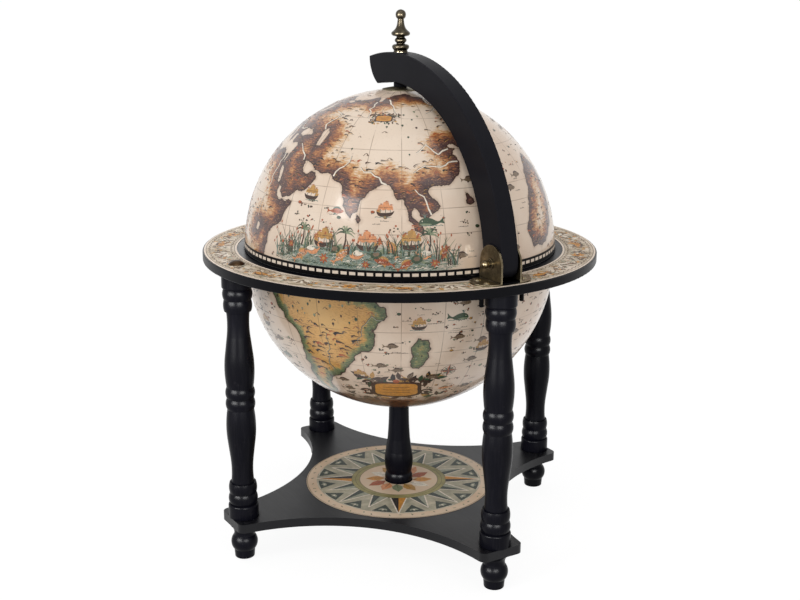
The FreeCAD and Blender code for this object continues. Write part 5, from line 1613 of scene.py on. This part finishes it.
def print_wedge(press, angle):
    """A dark wedge between two points of the rose, with a pale outline and a small flower in it."""
    left = ray_point(ROSE_OUTER, angle - WEDGE_HALF)
    right = ray_point(ROSE_OUTER, angle + WEDGE_HALF)
    press.shape("slate", [left, right, ray_point(ROSE_OUTER - WEDGE_DEPTH, angle)], 0)
    press.stroke("cream", [left, ray_point(ROSE_OUTER + 1.2, angle), right], 0.9, 1)
    root = ray_point(ROSE_OUTER - 11, angle)
    for lean in (-50, 0, 50):
        press.shape("stone", leaf_outline(*root, 90 - angle + lean, 8.4, 4.4), 1)
    press.disc("cream", *ray_point(ROSE_OUTER - 8, angle), 1.6, 2, 6)


def print_base():
    """A compass rose of sixteen split points, wedges between them, a leafy middle and a border."""
    press = Press(on_flat(BASE_PAPER_TOP), PAPER_INKS)
    chance = random.Random(BASE_SEED)
    press.at((0, ROSE_TURN))
    main = ("amber", "soot", ROSE_OUTER + 4)
    half = ("stone", "slate", ROSE_OUTER)
    small = ("stone", "slate", ROSE_OUTER - 9)
    for point in range(ROSE_POINTS):
        angle = 360 / ROSE_POINTS * point
        light, dark, tip = (main, small, half, small)[point % 4]
        left, right = ray_point(ROSE_INNER, angle - POINT_HALF), ray_point(ROSE_INNER, angle + POINT_HALF)
        middle, end = ray_point(ROSE_INNER - 0.5, angle), ray_point(tip, angle)
        press.shape(light, [middle, end, left], 1)
        press.shape(dark, [middle, right, end], 1)
        for corner in (left, right):
            press.stroke("cream", [corner, end], 1.7, 2)
        print_wedge(press, angle + 180 / ROSE_POINTS)
        for step in (-7.5, 0, 7.5):
            spot = ray_point(chance.uniform(121, 127), angle + step + chance.uniform(-2, 2))
            ink = chance.choice(["umber", "soot", "rust", "taupe"])
            press.disc(ink, *spot, chance.uniform(0.7, 1.3), 0, 5)
            press.shape("sage", leaf_outline(*spot, chance.uniform(0, 360), 4.0, 1.8), 0)
    for leaf in range(12):
        angle = 30 * leaf + 8
        root = ray_point(LEAF_ROOT, angle)
        reach = chance.uniform(26, 33)
        press.shape(LEAF_INKS[leaf % 6], leaf_outline(*root, 90 - angle + 14, reach, 17), leaf % 2)
        press.stroke("umber", [root, ray_point(LEAF_ROOT + reach * 0.9, angle - 8)], 0.6, 2, 0.2)
    press.finish("base_ornament", "stand", "paper_print")


print_ring()
print_base()

# Finial: radius and height of its rounded outline from the ball down to the foot, in millimetres
FINIAL_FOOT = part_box("finial")[0].z
FINIAL_TOP = (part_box("finial")[1].z - FINIAL_FOOT) / MM
FINIAL_BALL = [(0, 0), (3.6, -1.1), (6.0, -3.5), (6.8, -6.9), (6.1, -10.2), (4.5, -12.1)]
FINIAL_BODY = [
    (4.0, 42.4), (4.3, 40.0), (4.8, 36.0), (5.6, 33.0), (7.1, 30.0), (9.4, 27.6), (11.3, 26.0),
    (12.2, 24.8), (12.3, 23.5), (11.8, 22.1), (10.4, 21.0), (8.0, 20.4), (5.8, 19.8), (5.5, 18.7),
    (6.5, 17.7), (7.6, 16.3), (7.8, 14.9), (7.4, 13.5), (6.3, 12.4), (5.5, 11.5), (5.8, 10.5),
    (8.0, 10.0), (10.2, 9.1), (11.2, 7.7), (11.3, 6.3), (10.8, 4.9), (10.0, 3.7), (9.1, 2.7),
    (8.9, 2.0), (9.3, 1.2), (9.4, 0.0),
]
FINIAL_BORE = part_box("pole_rod")[1].x / MM
FINIAL_BORE_DEPTH = 20.0
FINIAL_SEGMENTS = 64
FINIAL_STEPS = 3


def make_finial():
    """The turned finial with rounded rims, bored for the pole rod."""
    ball = [(reach, FINIAL_TOP + drop) for reach, drop in FINIAL_BALL]
    outline = smooth(ball + FINIAL_BODY, FINIAL_STEPS)
    outline += [(FINIAL_BORE, 0), (FINIAL_BORE, FINIAL_BORE_DEPTH), (0, FINIAL_BORE_DEPTH)]
    outline = [(reach * MM, FINIAL_FOOT + rise * MM) for reach, rise in outline]
    finial = spin_piece("turned_finial", outline, FINIAL_SEGMENTS, False)
    finial.data.materials.append(turned_bronze)
    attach(finial, "arm")
    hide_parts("finial")


make_finial()

# Bolts of the hinge brackets where they stick out under the ring: radius and drop, then their places,
# in millimetres
RING_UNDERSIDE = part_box("horizon_ring")[0].z
BOLT_END = [(0.0, 0.0), (4.6, 0.0), (4.6, -1.0), (2.9, -1.2), (2.9, -15.4), (2.2, -16.6), (0.0, -17.0)]
BOLT_GAP = 0.00002
BOLT_SEGMENTS = 20
BOLT_PLACES = {"left_bracket_bolt": (238.5, -27.3), "right_bracket_bolt": (238.5, 32.3)}


def make_bolt_end(name, across, along):
    outline = [(reach * MM, RING_UNDERSIDE - BOLT_GAP + drop * MM) for reach, drop in BOLT_END]
    bolt = spin_piece(name, outline, BOLT_SEGMENTS, False)
    bolt.data.transform(Matrix.Translation((across * MM, along * MM, 0)))
    bolt.data.materials.append(turned_black)
    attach(bolt, "stand")


for bolt_name, bolt_place in BOLT_PLACES.items():
    make_bolt_end(bolt_name, *bolt_place)

# Black stop block on the ring between the brackets, under the foot of the arm
PAD_LOW = Vector((0.2180, -0.0127, 0.40425))
PAD_HIGH = Vector((0.2612, 0.0127, 0.40640))
PAD_ROUNDING = 0.0006
ROUNDING_STEPS = 3


def make_foot_pad():
    middle = (PAD_LOW + PAD_HIGH) / 2
    bpy.ops.mesh.primitive_cube_add(size=1, location=middle, scale=PAD_HIGH - PAD_LOW)
    pad = bpy.context.object
    pad.name = "arm_foot_pad"
    bpy.ops.object.transform_apply(location=True, rotation=True, scale=True)
    rounding = pad.modifiers.new("rounding", "BEVEL")
    rounding.width = PAD_ROUNDING
    rounding.segments = ROUNDING_STEPS
    bpy.ops.object.modifier_apply(modifier="rounding")
    pad.data.materials.append(turned_black)
    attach(pad, "stand")


make_foot_pad()


# Surroundings
WORLD_LIGHT = 0.74
FLOOR_GLOW = 1.07
FLOOR_GLOW_SHARE = 0.86
FLOOR_GREY = (0.85, 0.85, 0.85, 1)
FLOOR_SIZE = 600
FLOOR_DROP = 0.0005


def seen_directly(tree):
    """1 for rays from the camera, in reflections and through glass, and 0 for all other light."""
    path = tree.nodes.new("ShaderNodeLightPath")
    seen = path.outputs["Is Camera Ray"]
    for ray in ("Is Glossy Ray", "Is Transmission Ray"):
        either = tree.nodes.new("ShaderNodeMath")
        either.operation = "MAXIMUM"
        tree.links.new(seen, either.inputs[0])
        tree.links.new(path.outputs[ray], either.inputs[1])
        seen = either.outputs[0]
    return seen


def make_world():
    """Even pale light, seen as plain white by the camera and in reflections."""
    world = bpy.data.worlds.new("studio")
    bpy.context.scene.world = world
    world.use_nodes = True
    tree = world.node_tree
    background = tree.nodes["Background"]
    strength = tree.nodes.new("ShaderNodeMapRange")
    strength.inputs["To Min"].default_value = WORLD_LIGHT
    strength.inputs["To Max"].default_value = 1.0
    tree.links.new(seen_directly(tree), strength.inputs["Value"])
    tree.links.new(strength.outputs[0], background.inputs["Strength"])
    background.inputs["Color"].default_value = (1, 1, 1, 1)


def make_floor():
    """A white floor that keeps the shadow of the part."""
    bpy.ops.object.select_all(action="DESELECT")
    bpy.ops.mesh.primitive_plane_add(size=FLOOR_SIZE, location=(0, 0, -FLOOR_DROP))
    floor = bpy.context.object
    floor.name = "floor"
    finish = Finish("floor")
    finish.nodes.remove(finish.surface)
    matt = finish.add("ShaderNodeBsdfDiffuse", {}, {"Color": FLOOR_GREY})
    glow = finish.add("ShaderNodeEmission", {}, {"Strength": FLOOR_GLOW})
    share = finish.times(seen_directly(finish.material.node_tree), FLOOR_GLOW_SHARE)
    blend = finish.add("ShaderNodeMixShader", {}, {0: share, 1: matt, 2: glow})
    finish.links.new(blend, finish.nodes["Material Output"].inputs["Surface"])
    floor.data.materials.append(finish.material)


def add_softbox(name, azimuth, elevation, distance, width, height, power, only_on=()):
    """A soft rectangular lamp aimed at the middle of the globe, for all pieces or for some alone."""
    data = bpy.data.lights.new(name, "AREA")
    data.shape = "RECTANGLE"
    data.size = width
    data.size_y = height
    data.energy = power
    lamp = bpy.data.objects.new(name, data)
    bpy.context.scene.collection.objects.link(lamp)
    aim = Vector((0, 0, LID_CENTRE))
    turn = math.radians(azimuth)
    climb = math.radians(elevation)
    away = Vector((math.cos(climb) * math.cos(turn), math.cos(climb) * math.sin(turn), math.sin(climb)))
    lamp.location = aim + away * distance
    lamp.rotation_mode = "QUATERNION"
    lamp.rotation_quaternion = (-away).to_track_quat("-Z", "Y")
    lamp.visible_camera = False
    if only_on:
        lit = bpy.data.collections.new(name + "_lit")
        for piece_name in only_on:
            lit.objects.link(nodes.get(piece_name) or bpy.data.objects[piece_name])
        lamp.light_linking.receiver_collection = lit


make_world()
make_floor()
# Lamps: azimuth and elevation in degrees, distance, width and height in metres, power in watts
add_softbox("key", -73, 32, 1.8, 0.52, 0.45, 6.6)
add_softbox("fill", -10, 28, 2.2, 1.3, 1.3, 1.6)
add_softbox("top", -20, 72, 2.2, 1.6, 1.6, 7.6)
# Low wide lamps that draw the gleams on the turned legs and the brass
GLEAMING = FINISHES[turned_black] + FINISHES[antique_brass] + ["turned_finial"]
add_softbox("left_gleam", -75, 8, 1.6, 1.00, 0.50, 72.0, GLEAMING)
add_softbox("right_gleam", -18, 10, 1.6, 0.90, 0.42, 50.0, GLEAMING)
# A lamp behind the globe that veils the left of the ring
add_softbox("ring_veil", 168, 11, 1.6, 0.7, 0.5, 1.7, ["horizon_ring", "ring_print", "ring_ornament"])
